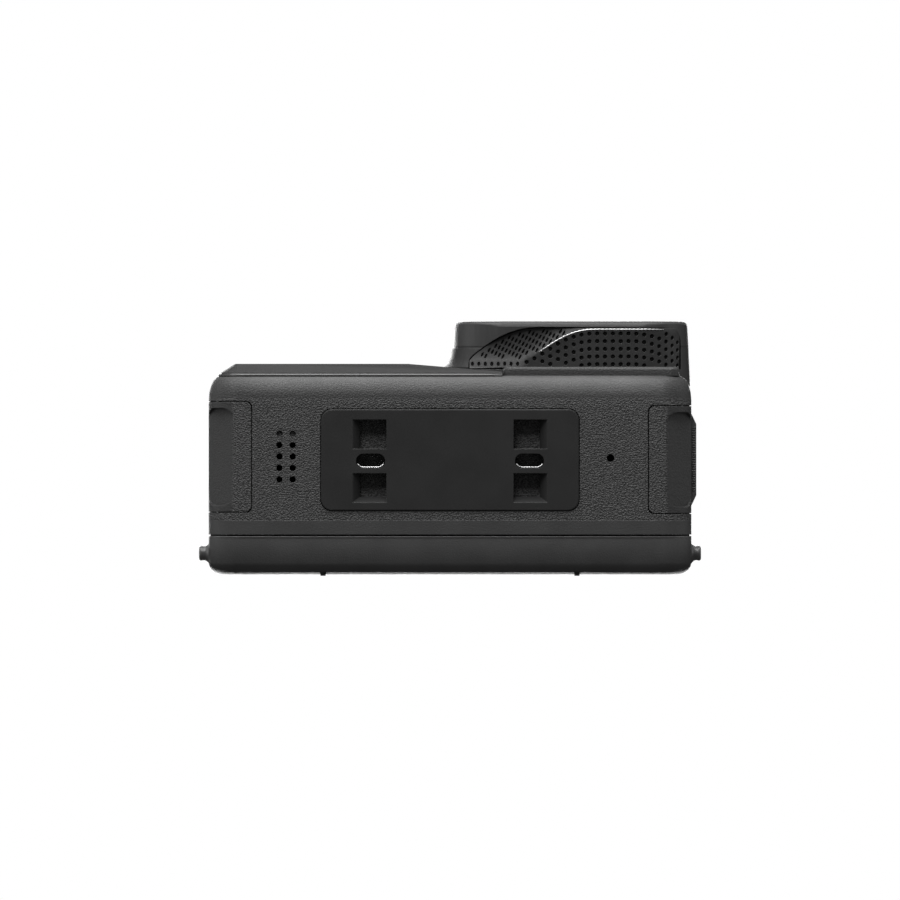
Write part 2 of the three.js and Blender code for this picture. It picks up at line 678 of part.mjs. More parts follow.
function powerRoom() {
  const floor = POWER_DEEP + POWER_TRAVEL + RUN;
  const pocket = prismX(powerOutline(FIT), -HALF_W - 1, -HALF_W + floor);
  const stem = rod('x', 0.9 + FIT, -HALF_W, -CAVITY.x + 1, POWER_Y, POWER_Z);
  return join(pocket, stem);
}

function mainHousing() {
  let shell = join(shellBlank(), frontPad());
  const hollow = prismY(cavityOutline(), CAVITY.y0, CAVITY.y1 + 1, 3);
  const lensWay = join(
    rod('y', BARREL_R + FIT, SHELL_FRONT_Y - 1, SENSOR_BOARD.y0, LENS_X, LENS_Z, ROUND_STEPS),
    sensorBoard(FIT));
  const vent = rod('z', VENT_R, -1, CAVITY.z0 + 1, SIDE_STRIP_X - 0.5, SLOT_Y - 0.44, HOLE_STEPS);
  const screws = screwBores(SCREW_SEAT_Y - SCREW_LONG - 0.3, SHELL_REAR_Y + 1);
  shell = cut(shell, hollow, lensWay, plateRoom(), speakerHoles(), vent, screws);
  shell = cut(shell, doorRoom(BATTERY_PLAN, OPENING.battery), doorRoom(USB_PLAN, OPENING.usb));
  shell = cut(shell, shutterRoom(), powerRoom());
  return mesh('main_housing', shell, FINISH.shell);
}

// ---------------------------------------------------------------- rear frame and its hinge ears

const EAR_IN = HINGE_BARREL / 2 + RUN;
const EAR_OUT = EAR_IN + HINGE_EAR;
const PIN_END = EAR_OUT - 0.5;

function rearFrame() {
  let frame = prismY(bodyOutline(), SHELL_REAR_Y, FRAME_REAR_Y);
  const hollow = prismY(cavityOutline(), SHELL_REAR_Y - 1, FRAME_REAR_Y - FRAME_WALL, 3);
  frame = cut(frame, hollow);
  frame = join(frame, bothSides(rod('x', HINGE_R, EAR_IN, EAR_OUT, HINGE_Y, HINGE_Z, 20)));
  const trough = box(
    -EAR_IN, EAR_IN, SHELL_REAR_Y - 1, HINGE_Y + FAR, HINGE_Z - HINGE_R - RUN, HEIGHT + 1);
  const pins = bothSides(
    rod('x', HINGE_PIN_R + SEAT, EAR_IN - 1, PIN_END + SEAT, HINGE_Y, HINGE_Z));
  const screws = screwBores(SHELL_REAR_Y - 1, FRAME_REAR_Y + 1);
  const seats = join(...SCREW_PLACES.map(
    ([, x, z]) => rod('y', SCREW_HEAD_R + SEAT, SCREW_SEAT_Y - 0.02, FRAME_REAR_Y + 1, x, z, 18)));
  return mesh('rear_frame', cut(frame, trough, pins, screws, seats), FINISH.satin);
}

function hingePins() {
  return [['left', -1], ['right', 1]].map(([word, side]) => {
    const pin = rod('x', HINGE_PIN_R, EAR_IN - 5, PIN_END, HINGE_Y, HINGE_Z);
    return mesh(`screen_hinge_pin_${word}`, side < 0 ? pin.mirror([1, 0, 0]) : pin, FINISH.steel);
  });
}

// ---------------------------------------------------------------- flip screen

const GLASS = {
  x: HALF_W - SCREEN_MARGIN_X,
  z0: SCREEN_FOOT + SCREEN_MARGIN_Z,
  z1: SCREEN_TOP - SCREEN_MARGIN_Z,
};
const GLASS_R = 2.2;
const PANEL_STEP = 1.1;

function glassOutline(inset) {
  const r = GLASS_R - Math.min(inset, 1);
  return roundedRect(-GLASS.x + inset, GLASS.z0 + inset, GLASS.x - inset, GLASS.z1 - inset, r);
}

function studProfile(grow) {
  return [
    [0, -STUD_ROOT - grow], [0.55 + grow, -STUD_ROOT - grow], [0.55 + grow, 0.05],
    [STUD_R, 0.05], [STUD_R, 0.35], [0.5, 0.55], [0.5, 0.8], [0.72, 1.0],
    [STUD_R, 1.15], [STUD_R, STUD_REACH - 0.15], [0.65, STUD_REACH], [0, STUD_REACH],
  ];
}

function stud(grow) {
  const points = studProfile(grow).map(([r, x]) => new THREE.Vector2(r, x));
  const lathe = new THREE.LatheGeometry(points, SMALL_ROUND_STEPS).rotateZ(-Math.PI / 2);
  return solid(lathe.translate(HALF_W, STUD_Y, STUD_Z));
}

function bumper(grow) {
  const half = BUMPER_WIDE / 2 + grow;
  const z0 = SCREEN_FOOT + BUMPER_FOOT - grow;
  const reach = SCREEN_REAR_Y + BUMPER_PROUD;
  const x = BUMPER_X;
  return box(x - half, x + half, reach - 1.8 - grow, reach, z0, z0 + BUMPER_TALL + 2 * grow);
}

function screenHousing() {
  const outline = roundedRect(-HALF_W, SCREEN_FOOT, HALF_W, SCREEN_TOP, CORNER_R - 0.3);
  const edge = { depth: SCREEN_EDGE_DEPTH, inset: SCREEN_EDGE_INSET, steps: 5 };
  let housing = edgedPrismY(outline, SCREEN_FRONT_Y, SCREEN_REAR_Y, edge, 'rear');
  const glassFloor = SCREEN_REAR_Y - GLASS_THICK - 2 * SEAT;
  const panelFloor = glassFloor - PANEL_THICK - SEAT;
  const glassPocket = prismY(glassOutline(-SEAT), glassFloor, SCREEN_REAR_Y + 1);
  const panelPocket = prismY(glassOutline(PANEL_STEP - SEAT), panelFloor, SCREEN_REAR_Y);
  housing = cut(housing, glassPocket, panelPocket, bothSides(stud(SEAT)), bothSides(bumper(0.05)));
  const barrel = rod('x', HINGE_R, -HINGE_BARREL / 2, HINGE_BARREL / 2, HINGE_Y, HINGE_Z, 20);
  const neck = box(
    -HINGE_BARREL / 2, HINGE_BARREL / 2, SCREEN_FRONT_Y, HINGE_Y + HINGE_R, SCREEN_TOP - 0.6, HINGE_Z);
  const bore = rod('x', HINGE_PIN_R + SEAT, -HALF_W, HALF_W, HINGE_Y, HINGE_Z);
  const bored = cut(join(barrel, neck), bore);
  return mesh('screen_housing', join(housing, bored), FINISH.satin);
}

function screenParts() {
  const glassY = SCREEN_REAR_Y - GLASS_THICK - SEAT;
  const panelY = glassY - SEAT - PANEL_THICK;
  const parts = [
    mesh('display_panel', prismY(glassOutline(PANEL_STEP), panelY, glassY - SEAT), FINISH.black),
    mesh('screen_glass', prismY(glassOutline(0), glassY, glassY + GLASS_THICK), FINISH.glass),
  ];
  for (const [word, side] of [['left', -1], ['right', 1]]) {
    const pieces = [['finger_stud', stud(0), FINISH.steel], ['screen_bumper', bumper(0), FINISH.rubber]];
    for (const [name, body, material] of pieces) {
      parts.push(mesh(`${name}_${word}`, side < 0 ? body.mirror([1, 0, 0]) : body, material));
    }
  }
  return parts;
}

// ---------------------------------------------------------------- front cover and its display

const SHOULDER = LENS_BLOCK / 2 + FLARE_WIDE;

function displayOutline(inset) {
  const [w, h] = [DISPLAY_W / 2 - inset, DISPLAY_H / 2 - inset];
  return roundedRect(DISPLAY_X - w, DISPLAY_Z - h, DISPLAY_X + w, DISPLAY_Z + h, 2.6 - inset * 0.5);
}

const LAMP = { x: LENS_X - SHOULDER - 2.2, z: HEIGHT - 6.2 };
const COVER_INSET = EDGE_INSET + 0.05;

function frontCover() {
  const edge = { depth: COVER_CHAMFER_DEPTH, inset: COVER_CHAMFER, steps: 1 };
  const face = edgedPrismY(bodyOutline(COVER_INSET), COVER_FRONT_Y, SHELL_FRONT_Y, edge);
  const lip = edgedPrismY(
    bodyOutline(COVER_INSET - COVER_LIP), SHELL_FRONT_Y - COVER_LIP, SHELL_FRONT_Y,
    { depth: COVER_LIP * 0.9, inset: COVER_LIP, steps: 1 });
  const cover = join(face, lip);
  const y0 = COVER_FRONT_Y - 1;
  const y1 = SHELL_FRONT_Y + 1;
  const around = SHOULDER + FIT;
  const block = roundedRect(
    LENS_X - around, LENS_Z - around, LENS_X + around, LENS_Z + around, LENS_BLOCK_R + FLARE_WIDE);
  const lowRight = box(COVER_SPLIT_X, FAR, y0, y1, -1, LENS_Z);
  const right = box(LENS_X, FAR, y0, y1, -1, FAR);
  const leanX = LENS_X - SHOULDER - COVER_LEAN_FROM;
  const lean = prismZ(polygon([
    [leanX, y0], [COVER_SPLIT_X + 1, y0], [COVER_SPLIT_X + 1, COVER_FRONT_Y + COVER_LEAN],
    [leanX, COVER_FRONT_Y],
  ]), 0, HEIGHT);
  const window = prismY(displayOutline(-SEAT), y0, COVER_FRONT_Y + 0.85);
  const panel = prismY(displayOutline(1.3 - SEAT), y0, y1);
  const lamp = rod('y', LAMP_R + SEAT, y0, COVER_FRONT_Y + LAMP_SET + 1.0, LAMP.x, LAMP.z);
  const body = cut(cover, prismY(block, y0, y1, 9), lowRight, right, lean, window, panel, lamp);
  return mesh('front_cover', body, FINISH.smooth);
}

function frontDisplay() {
  const windowY = COVER_FRONT_Y + 0.05;
  const panelY = COVER_FRONT_Y + 0.85;
  const lamp = rod('y', LAMP_R, COVER_FRONT_Y + LAMP_SET, COVER_FRONT_Y + LAMP_SET + 0.9, LAMP.x, LAMP.z);
  return [
    mesh('front_display_window', prismY(displayOutline(0), windowY, windowY + 0.7), FINISH.glass),
    mesh('front_display_panel', prismY(displayOutline(1.3), panelY, panelY + 0.6), FINISH.black),
    mesh('record_lamp', lamp, FINISH.glass),
  ];
}

// ---------------------------------------------------------------- lens block

const GRILLE = {
  x0: LENS_X - LENS_BLOCK / 2 + GRILLE_LEFT,
  x1: LENS_X + LENS_BLOCK / 2 - GRILLE_RIGHT,
};

// The grille's window seen from below: a long sweep rises from the left end to the front edge
function grilleOutline(inset) {
  const [x0, x1] = [GRILLE.x0 + inset, GRILLE.x1 - inset];
  const [y0, y1] = [GRILLE_FRONT_Y + inset, GRILLE_REAR_Y - inset];
  const shape = new THREE.Shape();
  shape.moveTo(x0, y1);
  shape.lineTo(x1, y1);
  shape.lineTo(x1, y0 + 2.6);
  shape.bezierCurveTo(x1, y0 + 1.0, x1 - 0.6, y0 + 0.15, x1 - 2.6, y0 + 0.1);
  shape.lineTo(x0 + 10.6, y0);
  shape.bezierCurveTo(x0 + 7.2, y0, x0 + 4.8, y0 + 1.2, x0 + 2.5, y0 + 2.8);
  shape.bezierCurveTo(x0 + 1.1, y0 + 3.8, x0, y0 + 4.6, x0, y0 + 5.3);
  return shape;
}

// Fold line of the grille seen from below, from its left end to its right end
function grilleFold() {
  const y = GRILLE_REAR_Y - 1.25;
  const front = GRILLE_FRONT_Y + 0.32;
  return new THREE.CubicBezierCurve(
    new THREE.Vector2(GRILLE.x0 + 8.0, y), new THREE.Vector2(GRILLE.x0 + 11.6, y - 0.6),
    new THREE.Vector2(GRILLE.x0 + 13.0, front), new THREE.Vector2(GRILLE.x0 + 20.0, front));
}

function foldPoints() {
  const middle = grilleFold().getPoints(14);
  const left = new THREE.Vector2(GRILLE.x0 - 1, middle[0].y);
  const right = new THREE.Vector2(GRILLE.x1 + 1, middle[middle.length - 1].y);
  return [left, ...middle, right];
}

// Space around the lens guard, its grooves and the hood that the grille keeps clear of
function guardCore(grow) {
  const radius = Math.max(GUARD_FLANGE_R, HOOD_OUT) + FIT + GUARD_WALL + grow;
  return rod('y', radius, LENS_FRONT_Y - 1, SHELL_REAR_Y, LENS_X, LENS_Z, ROUND_STEPS);
}

const GRILLE_DEEP_X = GRILLE.x0 + 10.5;
const GRILLE_DEEP_Z = LENS_BOTTOM + 5.2;

function grilleRoom() {
  const window = prismZ(grilleOutline(0), SHELL_BOTTOM, LENS_BOTTOM + 9, LENS_ARC_STEPS);
  const core = prismY(lensOutline(GRILLE_DEEP), LENS_FRONT_Y - 1, SHELL_REAR_Y, LENS_ARC_STEPS);
  const deep = box(GRILLE.x0 - 1, GRILLE_DEEP_X, LENS_FRONT_Y, GRILLE_REAR_Y + 1, 0, GRILLE_DEEP_Z);
  return cut(join(cut(window, core), window.intersect(deep)), guardCore(0));
}

function micGrille() {
  const window = prismZ(grilleOutline(SEAT), SHELL_BOTTOM, LENS_BOTTOM + 9, LENS_ARC_STEPS);
  const y0 = LENS_FRONT_Y - 1;
  const skin = cut(
    prismY(lensOutline(GRILLE_SET), y0, SHELL_REAR_Y, LENS_ARC_STEPS),
    prismY(lensOutline(GRILLE_SET + GRILLE_THICK), y0 - 1, SHELL_REAR_Y + 1, LENS_ARC_STEPS));
  const fold = foldPoints();
  const last = fold[fold.length - 1];
  const behind = new THREE.Shape([
    new THREE.Vector2(fold[0].x, GRILLE_REAR_Y + 1), new THREE.Vector2(last.x, GRILLE_REAR_Y + 1),
    ...fold.slice().reverse()]);
  const floor = window.intersect(skin).intersect(prismZ(behind, 0, LENS_Z));
  const shifted = (by) => fold.map((p) => new THREE.Vector2(p.x, p.y + by));
  const band = new THREE.Shape([...shifted(GRILLE_THICK / 2), ...shifted(-GRILLE_THICK).reverse()]);
  const foot = LENS_BOTTOM + GRILLE_SET;
  const shear = new THREE.Matrix4().set(1, 0, 0, 0, 0, 1, -0.55, 0, 0, 0, 1, 0, 0, 0, 0, 1);
  const wall = solid(extruded(band, GRILLE_RISE, null).applyMatrix4(shear).translate(0, 0, foot));
  const shallowZ = LENS_BOTTOM + GRILLE_DEEP - 0.2;
  const deepX = GRILLE_DEEP_X - 0.2;
  const keep = join(
    box(GRILLE.x0 - 1, deepX, LENS_FRONT_Y, SHELL_REAR_Y, 0, GRILLE_DEEP_Z - 0.4),
    box(deepX - 1, LENS_X + 9, LENS_FRONT_Y, SHELL_REAR_Y, 0, shallowZ));
  const step = wall.intersect(window).intersect(keep).intersect(
    prismY(lensOutline(GRILLE_SET), y0, SHELL_REAR_Y, LENS_ARC_STEPS));
  return mesh('mic_grille', cut(join(floor, step), guardCore(SEAT)), FINISH.grille);
}

// The flare's concave profile, from its foot to its front end, as shares of its width and depth
const FLARE_STEPS = [[1, 0.4], [0.7, 0.68], [0.37, 1]];

function lensHousing() {
  const block = lensBlank(BEZEL_Y, SHELL_FRONT_Y + EDGE_DEPTH * 0.4);
  const flareFront = SHELL_FRONT_Y - PAD_THICK - FLARE_DEPTH;
  const flares = FLARE_STEPS.map(([wideShare, depthShare]) => {
    const wide = FLARE_WIDE * wideShare;
    const depth = FLARE_DEPTH * depthShare;
    const half = LENS_BLOCK / 2 + wide;
    const shape = roundedRect(
      LENS_X - half, LENS_Z - half, LENS_X + half, LENS_Z + half, LENS_BLOCK_R + wide);
    const y0 = flareFront + FLARE_DEPTH - depth;
    return edgedPrismY(shape, y0, SHELL_FRONT_Y, { depth, inset: wide, steps: 1 }, 'front', LENS_ARC_STEPS);
  });
  const side = box(LENS_X, FAR, -FAR, FAR, -FAR, FAR);
  const top = box(-FAR, FAR, -FAR, FAR, HEIGHT - EDGE_INSET, FAR);
  const bore = rod('y', BLOCK_BORE_R, BEZEL_Y - 1, SHELL_FRONT_Y + 1, LENS_X, LENS_Z, ROUND_STEPS);
  const whole = join(block, cut(join(...flares), side, top));
  return mesh('lens_housing', cut(whole, shellBlank(), frontPad(), bore, grilleRoom()), FINISH.satin);
}

// Bayonet lugs of the guard, or the slots that let them in
const GUARD_REAR_Y = LENS_FRONT_Y + 2.75;
const HOOD_FRONT_Y = GUARD_REAR_Y + RUN;

function guardLugs(radius, y0, y1, angle, turn) {
  const lugs = [];
  for (let i = 0; i < LUGS; i += 1) {
    const shape = new THREE.Shape();
    const from = turn + i * 2 * Math.PI / LUGS - angle / 2;
    shape.absarc(0, 0, radius, from, from + angle, false);
    shape.absarc(0, 0, GUARD_R - 1.2, from + angle, from, true);
    lugs.push(prismY(shape, y0, y1, 3).translate([LENS_X, 0, LENS_Z]));
  }
  return join(...lugs);
}

const LUG_ANGLE = Math.PI / 9;
const GUARD_TURN = Math.PI / 4;

function lensBezel() {
  const edge = { depth: 0.7, inset: 0.7, steps: 3 };
  const block = lensBlank(LENS_FRONT_Y, BEZEL_Y);
  const steps = LENS_ARC_STEPS;
  const rounded = edgedPrismY(lensOutline(LENS_DRAFT), LENS_FRONT_Y, BEZEL_Y, edge, 'front', steps);
  const wide = edgedPrismY(
    lensOutline(-0.2), LENS_FRONT_Y + edge.depth, BEZEL_Y + 1, edge, 'front', steps);
  const body = block.intersect(join(rounded, wide));
  const bore = rod('y', GUARD_R + FIT, LENS_FRONT_Y - 1, BEZEL_Y + 1, LENS_X, LENS_Z, ROUND_STEPS);
  const hoodRoom = rod(
    'y', HOOD_OUT + SEAT, HOOD_FRONT_Y, BEZEL_Y + 1, LENS_X, LENS_Z, ROUND_STEPS);
  const rimFloor = LENS_FRONT_Y + GUARD_RECESS + GUARD_FLANGE + FIT;
  const rim = rod(
    'y', GUARD_FLANGE_R + FIT, LENS_FRONT_Y - 1, rimFloor, LENS_X, LENS_Z, ROUND_STEPS);
  const grooveFront = GUARD_REAR_Y - LUG_THICK - FIT;
  const groove = rod(
    'y', GUARD_R + LUG_OUT + FIT, grooveFront, GUARD_REAR_Y + FIT, LENS_X, LENS_Z, ROUND_STEPS);
  const entries = guardLugs(
    GUARD_R + LUG_OUT + FIT, LENS_FRONT_Y - 1, GUARD_REAR_Y, LUG_ANGLE + 0.06, GUARD_TURN);
  return mesh('lens_bezel', cut(body, bore, hoodRoom, rim, groove, entries, grilleRoom()), FINISH.satin);
}

function lensGuard() {
  const y0 = LENS_FRONT_Y + GUARD_RECESS;
  const glassSeat = y0 + 1.15;
  const ring = turned([
    [GUARD_GLASS_R - 0.9, GUARD_REAR_Y], [GUARD_R, GUARD_REAR_Y], [GUARD_R, y0 + GUARD_FLANGE],
    [GUARD_FLANGE_R, y0 + GUARD_FLANGE], [GUARD_FLANGE_R, y0 + 0.3], [GUARD_FLANGE_R - 0.3, y0],
    [GUARD_GLASS_R + SEAT, y0], [GUARD_GLASS_R + SEAT, glassSeat],
    [GUARD_GLASS_R - 0.9, glassSeat], [GUARD_GLASS_R - 0.9, GUARD_REAR_Y],
  ].reverse(), LENS_X, LENS_Z);
  const lugs = guardLugs(GUARD_R + LUG_OUT, GUARD_REAR_Y - LUG_THICK, GUARD_REAR_Y, LUG_ANGLE, 0);
  const glass = rod('y', GUARD_GLASS_R, y0 + 0.1, glassSeat - 0.05, LENS_X, LENS_Z, ROUND_STEPS);
  return [
    mesh('lens_guard_ring', join(ring, lugs), FINISH.smooth),
    mesh('lens_guard_glass', glass, FINISH.glass),
  ];
}

// ---------------------------------------------------------------- optics

const OPTIC_R = 7.6;
const FLANGE_Y = SHELL_FRONT_Y - SEAT;

function optics() {
  const front = BEZEL_Y - 0.9;
  const flangeR = BLOCK_BORE_R - SEAT;
  const tube = turned([
    [OPTIC_R, front], [HOOD_IN - 0.4, front], [HOOD_IN - 0.4, FLANGE_Y - 1.2],
    [flangeR, FLANGE_Y - 1.2], [flangeR, FLANGE_Y], [BARREL_R, FLANGE_Y], [BARREL_R, BARREL_REAR_Y],
    [BORE_REAR_R, BARREL_REAR_Y], [BORE_REAR_R, BARREL_REAR_Y - 1.4], [6.2, BARREL_REAR_Y - 1.4],
    [6.2, FLANGE_Y - 1.0], [OPTIC_R, FLANGE_Y - 1.0], [OPTIC_R, front],
  ], LENS_X, LENS_Z);
  const hoodY = HOOD_FRONT_Y;
  const hood = turned([
    [HOOD_IN, BEZEL_Y - SEAT], [HOOD_IN, hoodY], [HOOD_IN + 1.5, hoodY],
    [HOOD_IN + 1.5, hoodY + 0.2], [HOOD_OUT, hoodY + 0.2], [HOOD_OUT, BEZEL_Y - SEAT],
    [HOOD_IN, BEZEL_Y - SEAT],
  ], LENS_X, LENS_Z);
  const dome = [];
  const apex = front + 0.3;
  for (let i = 0; i <= 5; i += 1) {
    const a = i / 5 * Math.PI / 2;
    dome.push([(OPTIC_R - SEAT) * Math.sin(a), apex + 1.8 * (1 - Math.cos(a))]);
  }
  const frontLens = turned(
    [[0, apex + 3.0], [OPTIC_R - SEAT, apex + 3.0], ...dome.reverse()].reverse(), LENS_X, LENS_Z);
  const rearLens = rod('y', 6.1, BARREL_REAR_Y - 4.0, BARREL_REAR_Y - 1.9, LENS_X, LENS_Z, 32);
  return [
    mesh('lens_barrel', tube, FINISH.black),
    mesh('lens_hood', hood, FINISH.black),
    mesh('lens_front_element', frontLens, FINISH.glass),
    mesh('lens_rear_element', rearLens, FINISH.glass),
  ];
}

function sensor() {
  const { y0 } = SENSOR_BOARD;
  const board = sensorBoard(0);
  const chip = box(
    LENS_X - SENSOR_W / 2, LENS_X + SENSOR_W / 2, y0 - 1.0, y0 - 0.02,
    LENS_Z - SENSOR_H / 2, LENS_Z + SENSOR_H / 2);
  return [mesh('sensor_board', board, FINISH.board), mesh('image_sensor', chip, FINISH.black)];
}

// ---------------------------------------------------------------- doors, latch and buttons

const LATCH_FLOOR = HALF_W - LATCH_POCKET;

function latchPocket() {
  const high = LATCH_LOW + LATCH_TALL + LATCH_TRAVEL + RUN;
  const half = LATCH_WIDE / 2 + RUN;
  const y = (BATTERY_DOOR_FRONT + BATTERY_DOOR_REAR) / 2;
  const pocket = prismX(
    roundedRect(y - half, LATCH_LOW - RUN, y + half, high, 0.8), LATCH_FLOOR, HALF_W + 1, 5);
  const slotHalf = LATCH_STEM_W / 2 + RUN;
  const middle = LATCH_LOW + LATCH_TALL / 2;
  const slot = box(
    HALF_W - 4, HALF_W, y - slotHalf, y + slotHalf, middle - 1 - RUN, middle + 1 + LATCH_TRAVEL + RUN);
  return join(pocket, slot);
}

function batteryDoor() {
  const body = cut(doorBody(BATTERY_PLAN), latchPocket());
  return mesh('battery_door', body, FINISH.shell);
}

// Sliding latch with ribs across its face and a stem through the door
function batteryLatch() {
  const y = (BATTERY_DOOR_FRONT + BATTERY_DOOR_REAR) / 2;
  const half = LATCH_WIDE / 2;
  const z0 = LATCH_LOW;
  const floor = LATCH_FLOOR + SEAT;
  const proud = HALF_W + LATCH_PROUD;
  const profile = polygon([
    [floor, y - half], [HALF_W + 0.05, y - half], [proud, y - half + 1.5],
    [proud, y + half - 1.5], [HALF_W + 0.05, y + half], [floor, y + half]]);
  let slider = prismZ(profile, z0, z0 + LATCH_TALL);
  const grooves = [];
  const ribs = Math.floor((LATCH_WIDE - 4) / LATCH_PITCH / 2);
  for (let i = -ribs; i <= ribs; i += 1) {
    const at = y + i * LATCH_PITCH;
    grooves.push(box(proud - 0.3, proud + 1, at - 0.2, at + 0.2, z0 + 1, z0 + LATCH_TALL - 1));
  }
  slider = cut(slider, join(...grooves));
  const middle = LATCH_LOW + LATCH_TALL / 2;
  const stem = box(
    HALF_W - DOOR_THICK - 1.3, floor + 0.2, y - LATCH_STEM_W / 2, y + LATCH_STEM_W / 2,
    middle - 1, middle + 1);
  return mesh('battery_latch', join(slider, stem), FINISH.smooth);
}

function usbDoor() {
  return mesh('usb_door', doorBody(USB_PLAN), FINISH.shell);
}

function shutterButton() {
  const edge = { depth: 0.3, inset: 0.3, steps: 3 };
  const disc = new THREE.Shape();
  disc.absarc(SHUTTER_X, SHUTTER_Y, SHUTTER_R, 0, 2 * Math.PI, false);
  const low = SHUTTER_FLOOR + SHUTTER_TRAVEL + RUN;
  const cap = edgedPrismZ(disc, low, HEIGHT - 0.02, edge, 'high', 20);
  const dish = solid(new THREE.SphereGeometry(24, 40, 24).translate(SHUTTER_X, SHUTTER_Y, HEIGHT + 23.7));
  const stem = rod('z', 1.2, CAVITY.z1 - 0.2, low + 0.2, SHUTTER_X, SHUTTER_Y);
  return mesh('shutter_button', join(cut(cap, dish), stem), FINISH.smooth);
}

function powerButton() {
  const inner = HALF_W - POWER_DEEP;
  const cap = prismX(powerOutline(0), -HALF_W - POWER_PROUD, -inner);
  const stem = rod('x', 0.9, -inner - 0.2, -CAVITY.x - 0.2, POWER_Y, POWER_Z);
  return mesh('power_button', join(cap, stem), FINISH.smooth);
}

// ---------------------------------------------------------------- inside

const PACK_X1 = HALF_W - DOOR_THICK - GASKET_REACH - SEAT - BATTERY_END_ROOM;
const BAY_X0 = PACK_X1 - BATTERY_L - TERMINAL_ROOM - BAY_WALL;

function battery() {
  const bayX1 = CAVITY.x - SEAT;
  const z0 = CAVITY.z0 + BAY_WALL + RUN + SEAT;
  const half = BATTERY_T / 2;
  const x1 = PACK_X1;
  const [y0, y1] = [BATTERY_Y - half, BATTERY_Y + half];
  const z1 = Math.min(z0 + BATTERY_TALL, BATTERY_PLAN.openingTop - RUN);
  const pack = prismX(roundedRect(y0, z0 + 0.3, y1, z1, 1.0), x1 - BATTERY_L, x1, 4);
  const bayX0 = BAY_X0;
  const w = BAY_WALL + RUN;
  const outer = roundedRect(y0 - w, z0 - w + 0.3, y1 + w, z1 + w, 1.0);
  const inner = roundedRect(y0 - RUN, z0, y1 + RUN, z1 + RUN, 0.8);
  const sleeve = cut(prismX(outer, bayX0, bayX1, 4), prismX(inner, bayX0 + BAY_WALL, bayX1 + 1, 4));
  const terminalX = x1 - BATTERY_L - 0.2;
  const terminal = box(
    bayX0 + BAY_WALL + SEAT, terminalX, BATTERY_Y - 1.5, BATTERY_Y + 1.5, z0 + 8, z0 + 18);
  return [
    mesh('battery', pack, FINISH.battery),
    mesh('battery_bay', sleeve, FINISH.black),
    mesh('battery_terminal', terminal, FINISH.steel),
  ];
}

const PORT_FACE_X = -CAVITY.x + PORT_ROOM;
const PORT = { long: 7.3, wide: 8.94, thick: 3.16, z: 20 };
const CARD = { long: 12, wide: 11.4, thick: 1.4, z: 14 };

function electronics() {
  const boardX0 = PORT_FACE_X + 0.2;
  const boardX1 = BAY_X0 - 1.5;
  const board = box(boardX0, boardX1, BOARD_Y, BOARD_Y + BOARD_THICK, CAVITY.z0 + 0.3, CAVITY.z1 - 0.3);
  const half = PORT.thick / 2;
  const portY = BOARD_Y - SEAT - half;
  const portShape = roundedRect(
    portY - half, PORT.z - PORT.wide / 2, portY + half, PORT.z + PORT.wide / 2, half - 0.05);
  const mouth = roundedRect(
    portY - half + 0.3, PORT.z - PORT.wide / 2 + 0.3, portY + half - 0.3,
    PORT.z + PORT.wide / 2 - 0.3, half - 0.4);
  const tongue = box(
    PORT_FACE_X + 0.6, PORT_FACE_X + PORT.long - 0.8, portY - 0.35, portY + 0.35,
    PORT.z - 3.3, PORT.z + 3.3);
  const port = join(
    cut(prismX(portShape, PORT_FACE_X, PORT_FACE_X + PORT.long, 6),
      prismX(mouth, PORT_FACE_X - 1, PORT_FACE_X + PORT.long - 1, 6)), tongue);
  const cardY = BOARD_Y + BOARD_THICK + SEAT;
  const card = cut(
    box(PORT_FACE_X, PORT_FACE_X + CARD.long, cardY, cardY + CARD.thick,
      CARD.z - CARD.wide / 2, CARD.z + CARD.wide / 2),
    box(PORT_FACE_X - 1, PORT_FACE_X + CARD.long - 1, cardY + 0.3, cardY + CARD.thick - 0.3,
      CARD.z - CARD.wide / 2 + 0.4, CARD.z + CARD.wide / 2 - 0.4));
  const chipX = boardX0 + 9;
  const chip = box(
    chipX, chipX + PROCESSOR_SIDE, BOARD_Y - SEAT - 1.1, BOARD_Y - SEAT,
    PROCESSOR_Z - PROCESSOR_SIDE / 2, PROCESSOR_Z + PROCESSOR_SIDE / 2);
  return [
    mesh('main_board', board, FINISH.board),
    mesh('processor', chip, FINISH.black),
    mesh('usb_port', port, FINISH.steel),
    mesh('card_slot', card, FINISH.steel),
  ];
}

function smallInside() {
  const speakerX = -SIDE_STRIP_X;
  const low = CAVITY.z0 + SEAT;
  const speaker = join(
    box(speakerX - 3.8, speakerX + 3.8, -4.4, 3.4, low + 0.6, low + 3.4),
    box(speakerX - 3.2, speakerX + 3.2, -3.9, 3.1, low, low + 0.7));
  const vent = rod(
    'z', 2.0, CAVITY.z0 + 0.03, CAVITY.z0 + 0.25, SIDE_STRIP_X - 0.5, SLOT_Y - 0.44, 24);
  const spreaderY = SHELL_REAR_Y + 0.15;
  const spreader = prismY(
    roundedRect(-CAVITY.x + SEAT, CAVITY.z0 + SEAT, CAVITY.x - SEAT, CAVITY.z1 - SEAT, CAVITY_R),
    spreaderY, FRAME_REAR_Y - FRAME_WALL - SEAT, 3);
  const microphone = box(
    LENS_X - 1.6, LENS_X + 1.6, BEZEL_Y + 0.3, BEZEL_Y + 2.7,
    LENS_BOTTOM + GRILLE_DEEP - 1.15, LENS_BOTTOM + GRILLE_DEEP - 0.05);
  return [
    mesh('speaker_unit', speaker, FINISH.black),
    mesh('vent_membrane', vent, FINISH.rubber),
    mesh('heat_spreader', spreader, FINISH.aluminium),
    mesh('front_microphone', microphone, FINISH.steel),
  ];
}

// ---------------------------------------------------------------- assembly

function group(...pieces) {
  const made = new THREE.Group();
  pieces.flat().forEach((piece) => made.add(piece));
  return made;
}

